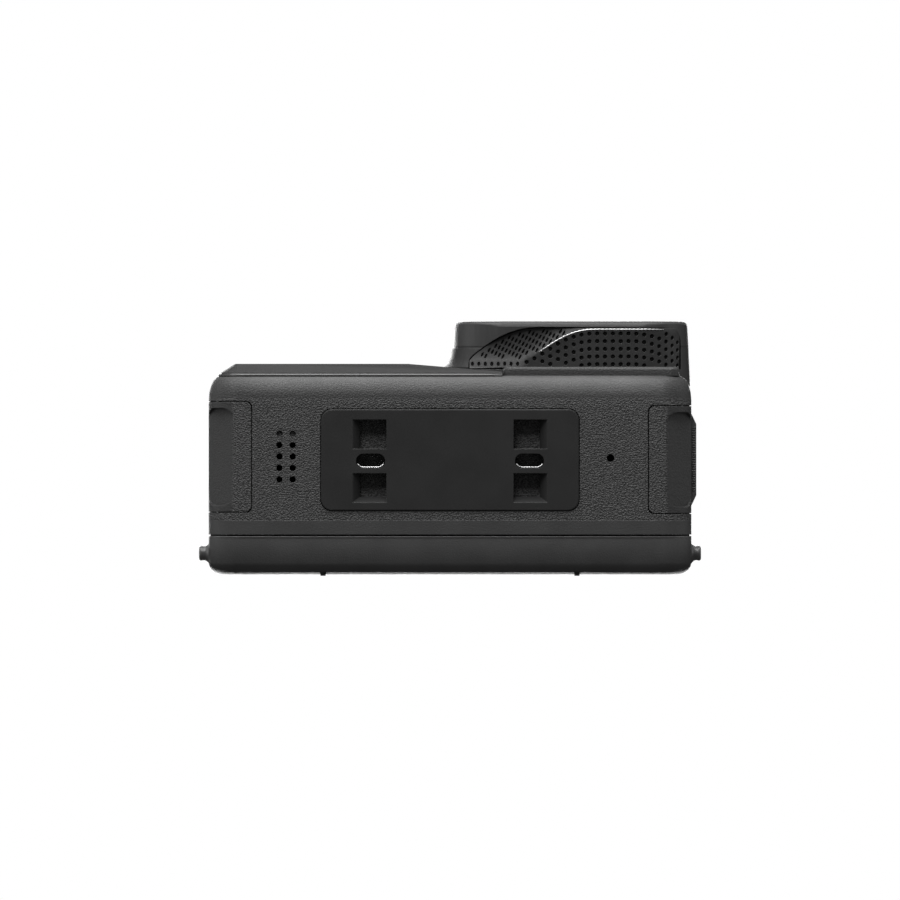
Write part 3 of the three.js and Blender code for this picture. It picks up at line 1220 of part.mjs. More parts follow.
const housingGroup = group(
  mainHousing(), rearFrame(), rearScrews(), hingePins(),
  doorPin('battery_door_pin', BATTERY_PLAN), doorPin('usb_door_pin', USB_PLAN));
const mountGroup = group(mountPlate(), magnets());
const frontGroup = group(frontCover(), frontDisplay());
const lensGroup = group(lensHousing(), lensBezel(), micGrille(), optics(), sensor());
const guardGroup = group(lensGuard());
const screenGroup = group(screenHousing(), screenParts());
const batteryDoorGroup = group(
  batteryDoor(), batteryLatch(),
  gasketRing(BATTERY_PLAN, OPENING.battery, FINISH.rubber, 'battery_door_gasket'));
const usbDoorGroup = group(
  usbDoor(), gasketRing(USB_PLAN, OPENING.usb, FINISH.rubber, 'usb_door_gasket'));
const buttonGroup = group(shutterButton(), powerButton());
const insideGroup = group(battery(), electronics(), smallInside());

const camera = group(
  housingGroup, mountGroup, frontGroup, lensGroup, guardGroup, screenGroup,
  batteryDoorGroup, usbDoorGroup, buttonGroup, insideGroup);

export default camera;
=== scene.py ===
"""Looks of a compact action camera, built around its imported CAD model.

Metres. +X is to the right seen from the front, +Y runs to the rear, +Z is up.
The camera of the scene looks straight up at the underside, with the front of the object
at the top of the picture.
"""

import math

import bmesh
import bpy
import numpy as np
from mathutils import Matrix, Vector
from mathutils.geometry import delaunay_2d_cdt


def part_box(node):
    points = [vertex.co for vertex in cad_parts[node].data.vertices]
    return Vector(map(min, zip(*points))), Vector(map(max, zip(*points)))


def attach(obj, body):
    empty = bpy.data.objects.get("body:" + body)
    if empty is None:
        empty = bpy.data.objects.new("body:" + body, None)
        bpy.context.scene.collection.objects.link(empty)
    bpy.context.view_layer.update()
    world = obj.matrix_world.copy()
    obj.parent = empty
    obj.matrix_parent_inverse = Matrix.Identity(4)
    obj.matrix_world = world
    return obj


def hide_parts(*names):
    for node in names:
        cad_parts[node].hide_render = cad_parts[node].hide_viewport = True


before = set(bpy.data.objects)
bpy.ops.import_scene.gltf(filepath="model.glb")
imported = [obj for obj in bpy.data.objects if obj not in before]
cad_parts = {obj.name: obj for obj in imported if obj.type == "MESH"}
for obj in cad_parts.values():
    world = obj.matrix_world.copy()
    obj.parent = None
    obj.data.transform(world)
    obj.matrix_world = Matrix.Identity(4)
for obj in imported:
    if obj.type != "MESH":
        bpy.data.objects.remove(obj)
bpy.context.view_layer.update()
MM = 0.001

# ------------------------------------------------------------------ node trees


WEAR_NONE, WEAR_FULL = 0.99, 0.72     # how far soft and true normals agree off and on an edge


class Tree:
    """Short calls that add nodes to one material or world."""

    def __init__(self, owner):
        owner.use_nodes = True
        self.tree = owner.node_tree
        self.tree.nodes.clear()

    def add(self, kind, inputs=None, **settings):
        node = self.tree.nodes.new(kind)
        for key, value in settings.items():
            setattr(node, key, value)
        for key, value in (inputs or {}).items():
            socket = node.inputs[key]
            if isinstance(value, bpy.types.NodeSocket):
                self.tree.links.new(value, socket)
            else:
                socket.default_value = value
        return node

    def math(self, operation, a, b=0.0):
        return self.add("ShaderNodeMath", {0: a, 1: b}, operation=operation).outputs[0]

    def times(self, a, b):
        return self.math("MULTIPLY", a, b)

    def vector(self, operation, a, b):
        return self.add("ShaderNodeVectorMath", {0: a, 1: b}, operation=operation).outputs

    def fit(self, value, low, high, to_low=0.0, to_high=1.0):
        """Value from low..high onto to_low..to_high, eased at both ends."""
        ends = {"From Min": low, "From Max": high, "To Min": to_low, "To Max": to_high}
        node = self.add(
            "ShaderNodeMapRange", {"Value": value, **ends}, interpolation_type="SMOOTHSTEP"
        )
        return node.outputs["Result"]

    def mix_color(self, factor, a, b):
        return self.add("ShaderNodeMix", {0: factor, 6: a, 7: b}, data_type="RGBA").outputs[2]

    def position(self):
        return self.add("ShaderNodeTexCoord").outputs["Object"]

    def axes(self, vector):
        return tuple(self.add("ShaderNodeSeparateXYZ", {0: vector}).outputs)

    def noise(self, vector, scale, detail=2.0, rough=0.5):
        inputs = {"Vector": vector, "Scale": scale, "Detail": detail, "Roughness": rough}
        return self.add("ShaderNodeTexNoise", inputs).outputs["Fac"]

    def warped(self, vector, scale, amount):
        """The vector moved about by a noise, so that cells lose their regular edges."""
        node = self.add("ShaderNodeTexNoise", {"Vector": vector, "Scale": scale, "Detail": 1.0})
        centred = self.vector("SUBTRACT", node.outputs["Color"], (0.5, 0.5, 0.5))[0]
        scaled = self.add(
            "ShaderNodeVectorMath", {0: centred, "Scale": amount}, operation="SCALE"
        ).outputs[0]
        return self.vector("ADD", vector, scaled)[0]

    def stretched(self, vector, factors):
        return self.vector("MULTIPLY", vector, factors)[0]

    def voronoi(self, vector, scale, feature="SMOOTH_F1", smoothness=0.4, randomness=1.0):
        inputs = {"Vector": vector, "Scale": scale, "Randomness": randomness}
        if feature == "SMOOTH_F1":
            inputs["Smoothness"] = smoothness
        return self.add("ShaderNodeTexVoronoi", inputs, feature=feature).outputs["Distance"]

    def rounded(self, radius):
        """Normal rounded over sharp edges."""
        return self.add("ShaderNodeBevel", {"Radius": radius}, samples=4).outputs[0]

    def bump(self, height, distance, normal=None):
        inputs = {"Height": height, "Distance": distance}
        if normal is not None:
            inputs["Normal"] = normal
        return self.add("ShaderNodeBump", inputs).outputs[0]

    def edge_wear(self, radius):
        """0 on flat ground, towards 1 along sharp edges, with the normal softened over them."""
        soft = self.rounded(radius)
        true = self.add("ShaderNodeNewGeometry").outputs["Normal"]
        agree = self.vector("DOT_PRODUCT", soft, true)["Value"]
        return self.fit(agree, WEAR_NONE, WEAR_FULL), soft

    def mixed(self, factor, first, second):
        return self.add(
            "ShaderNodeMixShader", {0: factor, 1: first.outputs[0], 2: second.outputs[0]}
        )

    def show(self, shader, output="ShaderNodeOutputMaterial"):
        self.add(output, {0: shader.outputs[0]})

    def surface(self, inputs):
        self.show(self.add("ShaderNodeBsdfPrincipled", inputs))


def grey(level, tint=(1.0, 1.0, 1.0)):
    return (level * tint[0], level * tint[1], level * tint[2], 1.0)


def material(name, color):
    made = bpy.data.materials.new(name)
    made.diffuse_color = color
    return made, Tree(made)


# ------------------------------------------------------------------ materials


GRAIN_START = -8.9 * MM       # leather grain begins behind the shell's soft front edge
GRAIN_FADE = 0.5 * MM
GRAIN_DEPTH = 0.085 * MM
GRAIN_LEFT = 0.26             # share of the grain left on the soft edge, and in a scoop
SCOOP_GRAIN = 0.22
SCOOP_SMOOTH_X = 32.45 * MM   # the doors' finger scoops are smooth outboard of this
SCOOP_SMOOTH_Z = 5.4 * MM     # and below this
SCOOP_FADE_X = 0.2 * MM
SCOOP_FADE_Z = 0.4 * MM
LIT_FILLET_REAR = (-11.4 * MM, -9.3 * MM)      # painted highlight: the front fillet is painted paler where it catches the front light; it fades out over these
LIT_FILLET_FRONT = (-12.6 * MM, -12.45 * MM)
# the painted highlight also fades out towards the fillet's right end, where less light falls
LIT_FILLET_ENDS = (26.0 * MM, 33.5 * MM)


def grained_plastic(name, scoop=False):
    """Leather-grained shell plastic, finer and shallower along the front edge; its grain tops and
    front fillet carry a painted highlight, its grain valleys painted shade.
    """
    mat, t = material(name, grey(0.045))
    p = t.position()
    x, y, z = t.axes(p)
    folded = t.warped(p, 1900.0, 0.13 * MM)
    ripples = t.noise(t.stretched(folded, (0.85, 1.0, 1.0)), 4500.0, detail=1.0, rough=0.45)
    creases = t.voronoi(folded, 3100.0, smoothness=0.35)
    fine = t.noise(p, 5200.0, detail=2.0, rough=0.6)
    leather = t.math("ADD", t.fit(ripples, 0.34, 0.66), t.times(creases, 0.5))
    depth = t.fit(y, GRAIN_START - GRAIN_FADE, GRAIN_START + GRAIN_FADE, GRAIN_LEFT, 1.0)
    out = t.math("ABSOLUTE", x)
    if scoop:
        side = t.fit(out, SCOOP_SMOOTH_X - SCOOP_FADE_X, SCOOP_SMOOTH_X + SCOOP_FADE_X, 1.0, 0.0)
        above = t.fit(z, SCOOP_SMOOTH_Z - SCOOP_FADE_Z, SCOOP_SMOOTH_Z + SCOOP_FADE_Z)
        grained = t.math("MAXIMUM", side, above)
        depth = t.times(depth, t.math("MAXIMUM", grained, SCOOP_GRAIN))
    wear, soft = t.edge_wear(0.16 * MM)
    height = t.math("ADD", t.times(leather, depth), t.times(fine, 0.16))
    normal = t.bump(height, GRAIN_DEPTH, soft)
    mottle = t.noise(p, 260.0, detail=3.0)
    # Painted light and shade on the grain: its tops paler, its valleys darker
    grain_light_and_shade = t.times(t.fit(leather, 0.2, 1.2), depth)
    base = t.mix_color(grain_light_and_shade, grey(0.024), grey(0.063))
    # Painted highlight: a paler speckle along the front fillet, where the front light catches it
    fillet = t.times(t.fit(y, *LIT_FILLET_REAR, 1.0, 0.0), t.fit(y, *LIT_FILLET_FRONT))
    fillet = t.times(fillet, t.fit(out, *LIT_FILLET_ENDS, 1.0, 0.0))
    lit_speckle = t.mix_color(t.fit(fine, 0.3, 0.7), grey(0.061), grey(0.088))
    base = t.mix_color(fillet, base, lit_speckle)
    worn = t.mix_color(t.times(wear, 0.1), base, grey(0.08))
    tone = t.mix_color(t.fit(mottle, 0.3, 0.7), worn, t.mix_color(0.25, worn, grey(0.034)))
    rough = t.fit(fine, 0.25, 0.75, 0.50, 0.64)
    t.surface({"Base Color": tone, "Roughness": rough, "Normal": normal, "Specular IOR Level": 0.4})
    return mat


FOOT_SHADE_RISE = 0.2 * MM              # painted shade on the lens block's concave foot, over this behind its seam
FOOT_SHADE_ENDS = (1.5 * MM, 5.0 * MM)  # and only at its left end
# half widths of the painted shadow line along the seam
SEAM_SHADOW_HALF = (0.05 * MM, 0.13 * MM)


def moulded_plastic(name, level, rough, specular, grain=0.035, edge=0.14, seam=None, crown=None):
    """Smooth moulded plastic with a fine spark-eroded texture and softened, slightly polished
    edges. seam: Y of a parting seam, marked by a painted shadow line, with painted shade over the
    lens block's foot behind it; crown: (middle, rise, reach) of a soft swell along Y; mm."""
    mat, t = material(name, grey(level))
    p = t.position()
    x, y, _ = t.axes(p)
    fine = t.noise(p, 4200.0, detail=3.0, rough=0.65)
    broad = t.noise(p, 170.0, detail=2.0)
    wear, soft = t.edge_wear(edge * MM)
    if crown is not None:
        middle, rise, reach = crown
        away = t.math("DIVIDE", t.math("SUBTRACT", y, middle * MM), reach * MM)
        soft = t.bump(t.times(t.times(away, away), -rise * MM), 1.0, soft)
    normal = t.bump(fine, grain * MM, soft)
    base = t.mix_color(t.fit(broad, 0.3, 0.7), grey(level * 0.93), grey(level * 1.07))
    tone = t.mix_color(t.times(wear, 0.5), base, grey(level * 1.9))
    if seam is not None:
        seam_y = seam * MM
        # Painted shade over the concave foot at the block's left end, behind the seam
        foot = t.times(t.fit(y, seam_y, seam_y + FOOT_SHADE_RISE), t.fit(x, *FOOT_SHADE_ENDS, 1.0, 0.0))
        tone = t.mix_color(foot, tone, grey(level * 0.3))
        # Painted shadow: a thin dark line along the seam, standing in for the shade in its gap
        gap = t.math("ABSOLUTE", t.math("SUBTRACT", y, seam_y))
        tone = t.mix_color(t.fit(gap, *SEAM_SHADOW_HALF, 0.75, 0.0), tone, grey(0.004))
    uneven = t.fit(fine, 0.25, 0.75, rough - 0.04, rough + 0.05)
    polished = t.math("SUBTRACT", uneven, t.times(wear, 0.08))
    t.surface({"Base Color": tone, "Roughness": polished, "Normal": normal,
               "Specular IOR Level": specular})
    return mat


def rubber():
    """Matt black rubber with a little dust."""
    mat, t = material("rubber", grey(0.02))
    p = t.position()
    dust = t.noise(p, 900.0, detail=4.0, rough=0.6)
    normal = t.bump(t.noise(p, 6000.0, detail=2.0), 0.05 * MM, t.rounded(0.15 * MM))
    tone = t.mix_color(t.fit(dust, 0.45, 0.75), grey(0.016), grey(0.028))
    t.surface({"Base Color": tone, "Roughness": t.fit(dust, 0.3, 0.7, 0.72, 0.86),
               "Normal": normal, "Specular IOR Level": 0.3})
    return mat


WEAVE = 21000.0               # threads of the acoustic cloth: radians per metre


def cloth():
    """Black woven acoustic mesh; its near-black tone is also painted shade in the grille's holes.
    """
    mat, t = material("acoustic_cloth", grey(0.006))
    x, y, _ = t.axes(t.position())
    weave = t.times(t.math("SINE", t.times(x, WEAVE)), t.math("SINE", t.times(y, WEAVE)))
    tone = t.mix_color(t.fit(weave, -0.4, 0.8), grey(0.003), grey(0.009))
    t.surface({"Base Color": tone, "Roughness": t.fit(weave, -1.0, 1.0, 0.9, 0.75),
               "Normal": t.bump(weave, 0.03 * MM), "Specular IOR Level": 0.1})
    return mat


def metal(name, level, rough, brush=(1.0, 1.0, 14.0), tint=(1.0, 1.0, 1.0)):
    """Metal with fine brushed or turned lines and faint smudges."""
    mat, t = material(name, grey(level, tint))
    p = t.position()
    lines = t.noise(t.stretched(p, brush), 1500.0, detail=3.0, rough=0.6)
    smudge = t.noise(p, 230.0, detail=3.0)
    wear, soft = t.edge_wear(0.09 * MM)
    normal = t.bump(lines, 0.012 * MM, soft)
    base = t.mix_color(t.fit(smudge, 0.3, 0.7), grey(level * 0.85, tint), grey(level * 1.1, tint))
    tone = t.mix_color(t.times(wear, 0.6), base, grey(min(level * 1.6, 0.85), tint))
    t.surface({"Base Color": tone, "Metallic": 1.0, "Normal": normal,
               "Roughness": t.fit(lines, 0.25, 0.75, rough - 0.06, rough + 0.08)})
    return mat


def circuit_board():
    """Green board with paler tracks."""
    mat, t = material("circuit_board", (0.01, 0.06, 0.03, 1.0))
    p = t.position()
    cells = t.voronoi(t.stretched(p, (1.0, 0.2, 1.0)), 900.0, feature="F1", randomness=0.55)
    tracks = t.fit(t.math("SINE", t.times(cells, 26.0)), 0.55, 0.8)
    tone = t.mix_color(tracks, (0.008, 0.05, 0.028, 1.0), (0.02, 0.11, 0.055, 1.0))
    normal = t.bump(tracks, 0.03 * MM, t.rounded(0.05 * MM))
    rough = t.fit(tracks, 0.0, 1.0, 0.38, 0.5)
    t.surface({"Base Color": tone, "Roughness": rough, "Normal": normal})
    return mat


def cover_glass():
    """Dark polished glass with faint finger smudges."""
    glass = grey(0.006, (0.9, 0.95, 1.1))
    mat, t = material("cover_glass", glass)
    p = t.position()
    smudge = t.noise(t.warped(p, 90.0, 3.0 * MM), 140.0, detail=4.0, rough=0.6)
    specks = t.fit(t.voronoi(p, 520.0, feature="F1"), 0.05, 0.0)
    rough = t.math("ADD", t.fit(smudge, 0.45, 0.75, 0.03, 0.08), t.times(specks, 0.2))
    tone = t.mix_color(t.fit(smudge, 0.45, 0.8), glass, grey(0.009))
    t.surface({"Base Color": tone, "Roughness": rough, "Normal": t.rounded(0.12 * MM),
               "IOR": 1.5, "Specular IOR Level": 0.2})
    return mat


def guard_glass():
    """Clear flat glass over the lens, with faint dust."""
    mat, t = material("guard_glass", grey(0.02))
    p = t.position()
    dust = t.fit(t.noise(p, 520.0, detail=4.0, rough=0.65), 0.5, 0.85, 0.04, 0.10)
    clear = t.add("ShaderNodeBsdfTransparent", {"Color": grey(0.80, (0.97, 1.0, 1.0))})
    shine = t.add("ShaderNodeBsdfPrincipled", {
        "Base Color": grey(0.006), "Roughness": t.fit(dust, 0.04, 0.10, 0.02, 0.08),
        "Normal": t.rounded(0.1 * MM), "IOR": 1.5, "Specular IOR Level": 0.4})
    t.show(t.mixed(t.math("ADD", dust, 0.18), clear, shine))
    return mat


def lens_glass():
    """Coated lens element: deep, with a painted reflection of its coating: a faint blue and magenta
    tone in the base colour at grazing angles.
    """
    mat, t = material("lens_glass", (0.01, 0.012, 0.03, 1.0))
    p = t.position()
    # Painted reflection: the coating's colour is painted into the base colour by the facing angle
    facing = t.add("ShaderNodeLayerWeight", {"Blend": 0.35}).outputs["Facing"]
    dust = t.noise(p, 700.0, detail=4.0)
    deep, magenta = (0.004, 0.006, 0.016, 1.0), (0.035, 0.012, 0.05, 1.0)
    blue = (0.01, 0.04, 0.06, 1.0)
    bloom = t.mix_color(t.fit(facing, 0.05, 0.55), deep, magenta)
    tone = t.mix_color(t.fit(facing, 0.5, 0.95), bloom, blue)
    t.surface({"Base Color": tone, "Roughness": t.fit(dust, 0.4, 0.8, 0.015, 0.05),
               "IOR": 1.6, "Specular IOR Level": 0.35, "Specular Tint": (0.6, 0.7, 1.0, 1.0)})
    return mat


LOOK = {
    "grained": grained_plastic("grained_plastic"),
    "door": grained_plastic("grained_plastic_door", scoop=True),
    "satin": moulded_plastic("satin_plastic", 0.046, 0.5, 0.3, grain=0.05),
    "screen": moulded_plastic("satin_plastic_screen", 0.050, 0.5, 0.18, grain=0.05,
                              crown=(13.4, 0.36, 2.5)),
    "lens_satin": moulded_plastic("satin_plastic_lens", 0.036, 0.44, 0.3, grain=0.02,
                                  seam=-16.9),
    "smooth": moulded_plastic("smooth_plastic", 0.026, 0.42, 0.2, grain=0.012),
    "cover": moulded_plastic("smooth_plastic_cover", 0.021, 0.5, 0.25, grain=0.03),
    "grille": moulded_plastic("grille_paint", 0.030, 0.46, 0.3, grain=0.02, edge=0.05),
    # paler tone of the beads along the cover and screen edges: a painted highlight
    "lip": moulded_plastic("smooth_plastic_lip", 0.10, 0.34, 0.5, grain=0.005, edge=0.03),
    "latch": moulded_plastic("battery_latch", 0.08, 0.45, 0.4, grain=0.02),
    "guard_glass": guard_glass(),
    # painted highlight: bright metal on the slot rims of the plastic mount plate
    "slot_rim": metal("mount_slot_rim", 0.4, 0.3),
    "stud": moulded_plastic("finger_stud", 0.06, 0.36, 0.5, grain=0.01, edge=0.08),
    # painted highlight: bright metal on the grille's fold
    "bare_edge": metal("grille_edge", 0.55, 0.42),
    "rubber": rubber(),
    "cloth": cloth(),
    "steel": metal("steel", 0.42, 0.34),
    "dark_steel": metal("dark_steel", 0.13, 0.34, tint=(1.0, 0.99, 0.98)),
    "aluminium": metal("aluminium", 0.5, 0.4, brush=(1.0, 12.0, 1.0)),
    "board": circuit_board(),
    "black": moulded_plastic("black_plastic", 0.008, 0.5, 0.25),
    "cover_glass": cover_glass(),
    "lens_glass": lens_glass(),
    "battery": moulded_plastic("battery_pack", 0.03, 0.5, 0.3, grain=0.02),
}

# Look of each CAD node; a node that isn't named here takes the one of its slot.
BY_SLOT = {
    "grained_plastic": "grained",
    "satin_plastic": "satin",
    "smooth_plastic": "smooth",
    "grille_metal": "grille",
    "rubber": "rubber",
    "steel": "steel",
    "dark_steel": "dark_steel",
    "aluminium": "aluminium",
    "circuit_board": "board",
    "black_plastic": "black",
    "cover_glass": "cover_glass",
    "lens_glass": "lens_glass",
    "battery_pack": "battery",
}
BY_NODE = {
    "battery_door": "door",
    "usb_door": "door",
    "front_cover": "cover",
    "lens_housing": "lens_satin",
    "lens_bezel": "lens_satin",
    "lens_barrel": "black",
    "lens_guard_glass": "guard_glass",
    "battery_latch": "latch",
    "screen_housing": "screen",
}

# ------------------------------------------------------------------ shading of the CAD nodes

SMOOTH_ANGLE = math.radians(32.0)
SAME_PLACE = 0.002 * MM       # corners closer than this share their normals


def smooth_shading(mesh, angle=SMOOTH_ANGLE):
    """Custom normals: at each corner, the mean of the faces there that turn less than the angle,
    weighted by their areas, so that flat ground stays flat and fillets run smoothly."""
    count = len(mesh.polygons)
    normals = np.zeros(count * 3)
    areas = np.zeros(count)
    mesh.polygons.foreach_get("normal", normals)
    mesh.polygons.foreach_get("area", areas)
    normals = normals.reshape(-1, 3)
    places = np.zeros(len(mesh.vertices) * 3)
    mesh.vertices.foreach_get("co", places)
    keys = [tuple(k) for k in np.round(places.reshape(-1, 3) / SAME_PLACE).astype(np.int64)]
    at = {}
    for poly in mesh.polygons:
        for v in poly.vertices:
            at.setdefault(keys[v], []).append(poly.index)
    limit = math.cos(angle)
    corners = []
    for poly in mesh.polygons:
        own = normals[poly.index]
        for v in poly.vertices:
            around = at[keys[v]]
            near = [i for i in around if normals[i] @ own > limit]
            mean = (normals[near] * areas[near, None]).sum(0)
            size = np.linalg.norm(mean)
            corners.append(tuple(mean / size) if size > 1e-15 else tuple(own))
    mesh.polygons.foreach_set("use_smooth", [True] * count)
    mesh.normals_split_custom_set(corners)


for node_name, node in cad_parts.items():
    slot_name = node.material_slots[0].material.name.split(".")[0]
    look = LOOK[BY_NODE.get(node_name, BY_SLOT[slot_name])]
    node.material_slots[0].material = look
    smooth_shading(node.data)


# ------------------------------------------------------------------ mesh helpers


def add_object(name, data):
    made = bpy.data.objects.new(name, data)
    bpy.context.scene.collection.objects.link(made)
    return made


def make_mesh(name, points, faces, body, slot_name, look, angle=SMOOTH_ANGLE, smooth=True):
    """A piece from points in millimetres, facing out, riding on a body."""
    mesh = bpy.data.meshes.new(name)
    mesh.from_pydata([tuple(c * MM for c in p) for p in points], [], faces)
    bm = bmesh.new()
    bm.from_mesh(mesh)
    bmesh.ops.remove_doubles(bm, verts=bm.verts, dist=0.0005 * MM)
    bmesh.ops.recalc_face_normals(bm, faces=bm.faces)
    bm.to_mesh(mesh)
    bm.free()
    mesh.validate()
    mesh.materials.append(LOOK[look])
    if smooth:
        smooth_shading(mesh, angle)
    piece = add_object(name, mesh)
    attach(piece, body)
    return piece


def mm_box(node):
    low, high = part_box(node)
    return Vector(low) / MM, Vector(high) / MM


def bezier(p0, p1, p2, p3, count):
    points = []
    for i in range(count + 1):
        t = i / count
        k = ((1 - t) ** 3, 3 * t * (1 - t) ** 2, 3 * t * t * (1 - t), t ** 3)
        ends = (p0, p1, p2, p3)
        points.append(tuple(sum(c * p[axis] for c, p in zip(k, ends)) for axis in range(2)))
    return points


def arc(u, v, r, start, turn, steps):
    """Points of an arc about (u, v), from its start angle through its turn."""
    angles = [start + turn * i / steps for i in range(steps + 1)]
    return [(u + r * math.cos(a), v + r * math.sin(a)) for a in angles]


def tube_faces(rings, sides):
    """Faces between rings of points that follow each other, with both ends closed."""
    faces = []
    for i in range(rings - 1):
        one, two = i * sides, (i + 1) * sides
        for k in range(sides):
            n = (k + 1) % sides
            faces.append((one + k, one + n, two + n, two + k))
    faces.append(tuple(range(sides)))
    faces.append(tuple(reversed(range((rings - 1) * sides, rings * sides))))
    return faces


BEAD_ANGLE = math.radians(60)         # thin round beads are shaded smooth up to this


# ------------------------------------------------------------------ microphone grille
# A perforated sheet under the lens block. It is laid out flat as (s, y): s runs along the
# block's lower outline, round the corner at its right end, and y runs from front to rear.

GRILLE_LOW, GRILLE_HIGH = mm_box("mic_grille")
GUARD_LOW, GUARD_HIGH = mm_box("lens_guard_glass")
LENS_MID_X = (GUARD_LOW.x + GUARD_HIGH.x) / 2
SHEET_Z = GRILLE_LOW.z - 0.24
CORNER_X = LENS_MID_X + 10.2          # where the outline starts to turn up
CORNER_R = 7.17
SHEET_THICK = 0.16
SHEET_X0 = GRILLE_LOW.x + 0.05
SHEET_X1 = GRILLE_HIGH.x - 0.05
SHEET_FRONT_Y = GRILLE_LOW.y + 0.04
SHEET_REAR_Y = GRILLE_HIGH.y - 0.06
STRIP_FOLD_Y = -14.88                 # the fold along the plain strip at the left
CREST_Y = -19.46                      # and along the flat stretch in front
FOLD = bezier((10.2, STRIP_FOLD_Y), (13.8, -15.4), (16.2, CREST_Y), (21.5, CREST_Y), 28)
WALL_START = SHEET_X0 + 0.005         # left end of the two halves
HOLE_SIDES = 12
GRID = 0.7                            # spacing of the points between the holes
GRID_CLEAR = 0.15                     # and their distance from the sheet's outline
WALL_SLOPE = 0.40                     # how steeply the sheet leaves the fold
WALL_DEEP = 0.60                      # and how deep it goes
CREST_PROUD = 0.12                    # how far the fold stands out, and how wide it is
CREST_REACH = 1.1
CREST_FROM, CREST_RISE = 10.5, 4.5    # where the crest starts, and where it is full
STRIP_TILT = 0.33                     # slope of the plain strip towards the front
STRIP_END, STRIP_FADE = 12.0, 1.5
HOLE_TAPER = 0.84                     # holes narrow through the sheet
ROUND_HOLE = 0.35
ROUND_PITCH = 1.17
ROUND_FIRST = 11.45                   # first column of round holes
ROUND_SET = 0.62                      # first row behind the fold
ROUND_ROW = 0.98                      # pitch of the rows, as a share of the columns'
ROUND_MARGIN = 0.06                   # sheet left between a hole and the outline
ROUND_APART = 2.3 * ROUND_HOLE        # least distance between middles
DROOP_FROM, DROOP = 27.0, 0.04        # rows bend to the rear again at the right end
STRIP_FIRST = (3.35, -14.32)          # single row of oval holes along the plain strip
STRIP_HOLE = (0.25, 0.35)
STRIP_PITCH = 0.963
STRIP_HOLES = 9
SLANT_LONG = 0.42                     # half length and half width of the slanted holes
SLANT_WIDE = 0.175
SLANT_MARGIN = 0.03
SLANT_ROW = (0.516, 0.235)            # step along a row, and step from row to row
SLANT_CHAIN = (0.49, -0.87)
SLANT_TURN = math.atan2(-0.87, 0.49)
SLANT_FIRST = (SHEET_X0 + 0.4, STRIP_FOLD_Y - 0.45)


def share(value):
    return min(max(value, 0.0), 1.0)


def fold_y(s):
    return float(np.interp(s, [p[0] for p in FOLD], [p[1] for p in FOLD]))


def on_sheet(s, y, lift):
    """Point of the sheet: lift is how deep it lies inside the block's outline."""
    if s <= CORNER_X:
        return (s, y, SHEET_Z + lift)
    turn = (s - CORNER_X) / CORNER_R
    r = CORNER_R - lift
    return (CORNER_X + r * math.sin(turn), y, SHEET_Z + CORNER_R - r * math.cos(turn))


def sheet_lift(s, y):
    """Ahead of the fold the sheet rises into the block; along the fold it stands proud."""
    ahead = fold_y(s) - y
    wall = WALL_DEEP * (1 - math.exp(-max(ahead, 0.0) * WALL_SLOPE / WALL_DEEP))
    proud = CREST_PROUD * share((s - CREST_FROM) / CREST_RISE)
    proud *= math.exp(-(ahead / CREST_REACH) ** 2)
    tilt = STRIP_TILT * max(-ahead, 0.0) * share((STRIP_END - s) / STRIP_FADE)
    return wall - proud - tilt


def sheet_outline():
    """Window's front outline from its left end to its right end, as (s, y)."""
    x0, y0 = SHEET_X0, SHEET_FRONT_Y
    flat_x = x0 + 10.6
    left = bezier((x0, y0 + 5.2), (x0, y0 + 4.5), (x0 + 1.1, y0 + 3.75), (x0 + 2.5, y0 + 2.75), 10)
    rise = bezier((x0 + 2.5, y0 + 2.75), (x0 + 4.8, y0 + 1.2), (x0 + 7.2, y0), (flat_x, y0), 14)
    reach = CORNER_X + CORNER_R * math.asin(min((SHEET_X1 - CORNER_X) / CORNER_R, 1.0))
    end_x = reach - 1.6
    flat = [(flat_x + i, y0) for i in range(1, 60) if flat_x + i < end_x]
    end = bezier((end_x, y0 + 0.02), (reach - 0.5, y0 + 0.1), (reach, y0 + 0.8),
                 (reach, y0 + 2.6), 8)
    return left + rise[1:] + flat + end, reach


def ring(centre, long, wide, turn):
    """Outline of a round or oval hole."""
    points = []
    for i in range(HOLE_SIDES):
        a = 2 * math.pi * i / HOLE_SIDES
        u, v = long * math.cos(a), wide * math.sin(a)
        points.append((centre[0] + u * math.cos(turn) - v * math.sin(turn),
                       centre[1] + u * math.sin(turn) + v * math.cos(turn)))
    return points


def middle(points):
    return tuple(sum(p[axis] for p in points) / len(points) for axis in range(2))


def gap_squared(a, b):
    return (a[0] - b[0]) ** 2 + (a[1] - b[1]) ** 2


def inside(point, polygon):
    x, y = point
    hit = False
    for (x1, y1), (x2, y2) in zip(polygon, polygon[1:] + polygon[:1]):
        if (y1 > y) != (y2 > y) and x < (x2 - x1) * (y - y1) / (y2 - y1) + x1:
            hit = not hit
    return hit


def clear_of(points, polygon, margin):
    """Whether every point is inside the polygon and at least margin away from its sides."""
    ends = np.array(polygon)
    starts = np.roll(ends, 1, axis=0)
    along = ends - starts
    size = np.maximum((along ** 2).sum(1), 1e-12)
    for p in points:
        if not inside(p, polygon):
            return False
        t = np.clip(((np.array(p) - starts) * along).sum(1) / size, 0, 1)
        gap = np.sqrt((((starts + along * t[:, None]) - np.array(p)) ** 2).sum(1)).min()
        if gap < margin:
            return False
    return True


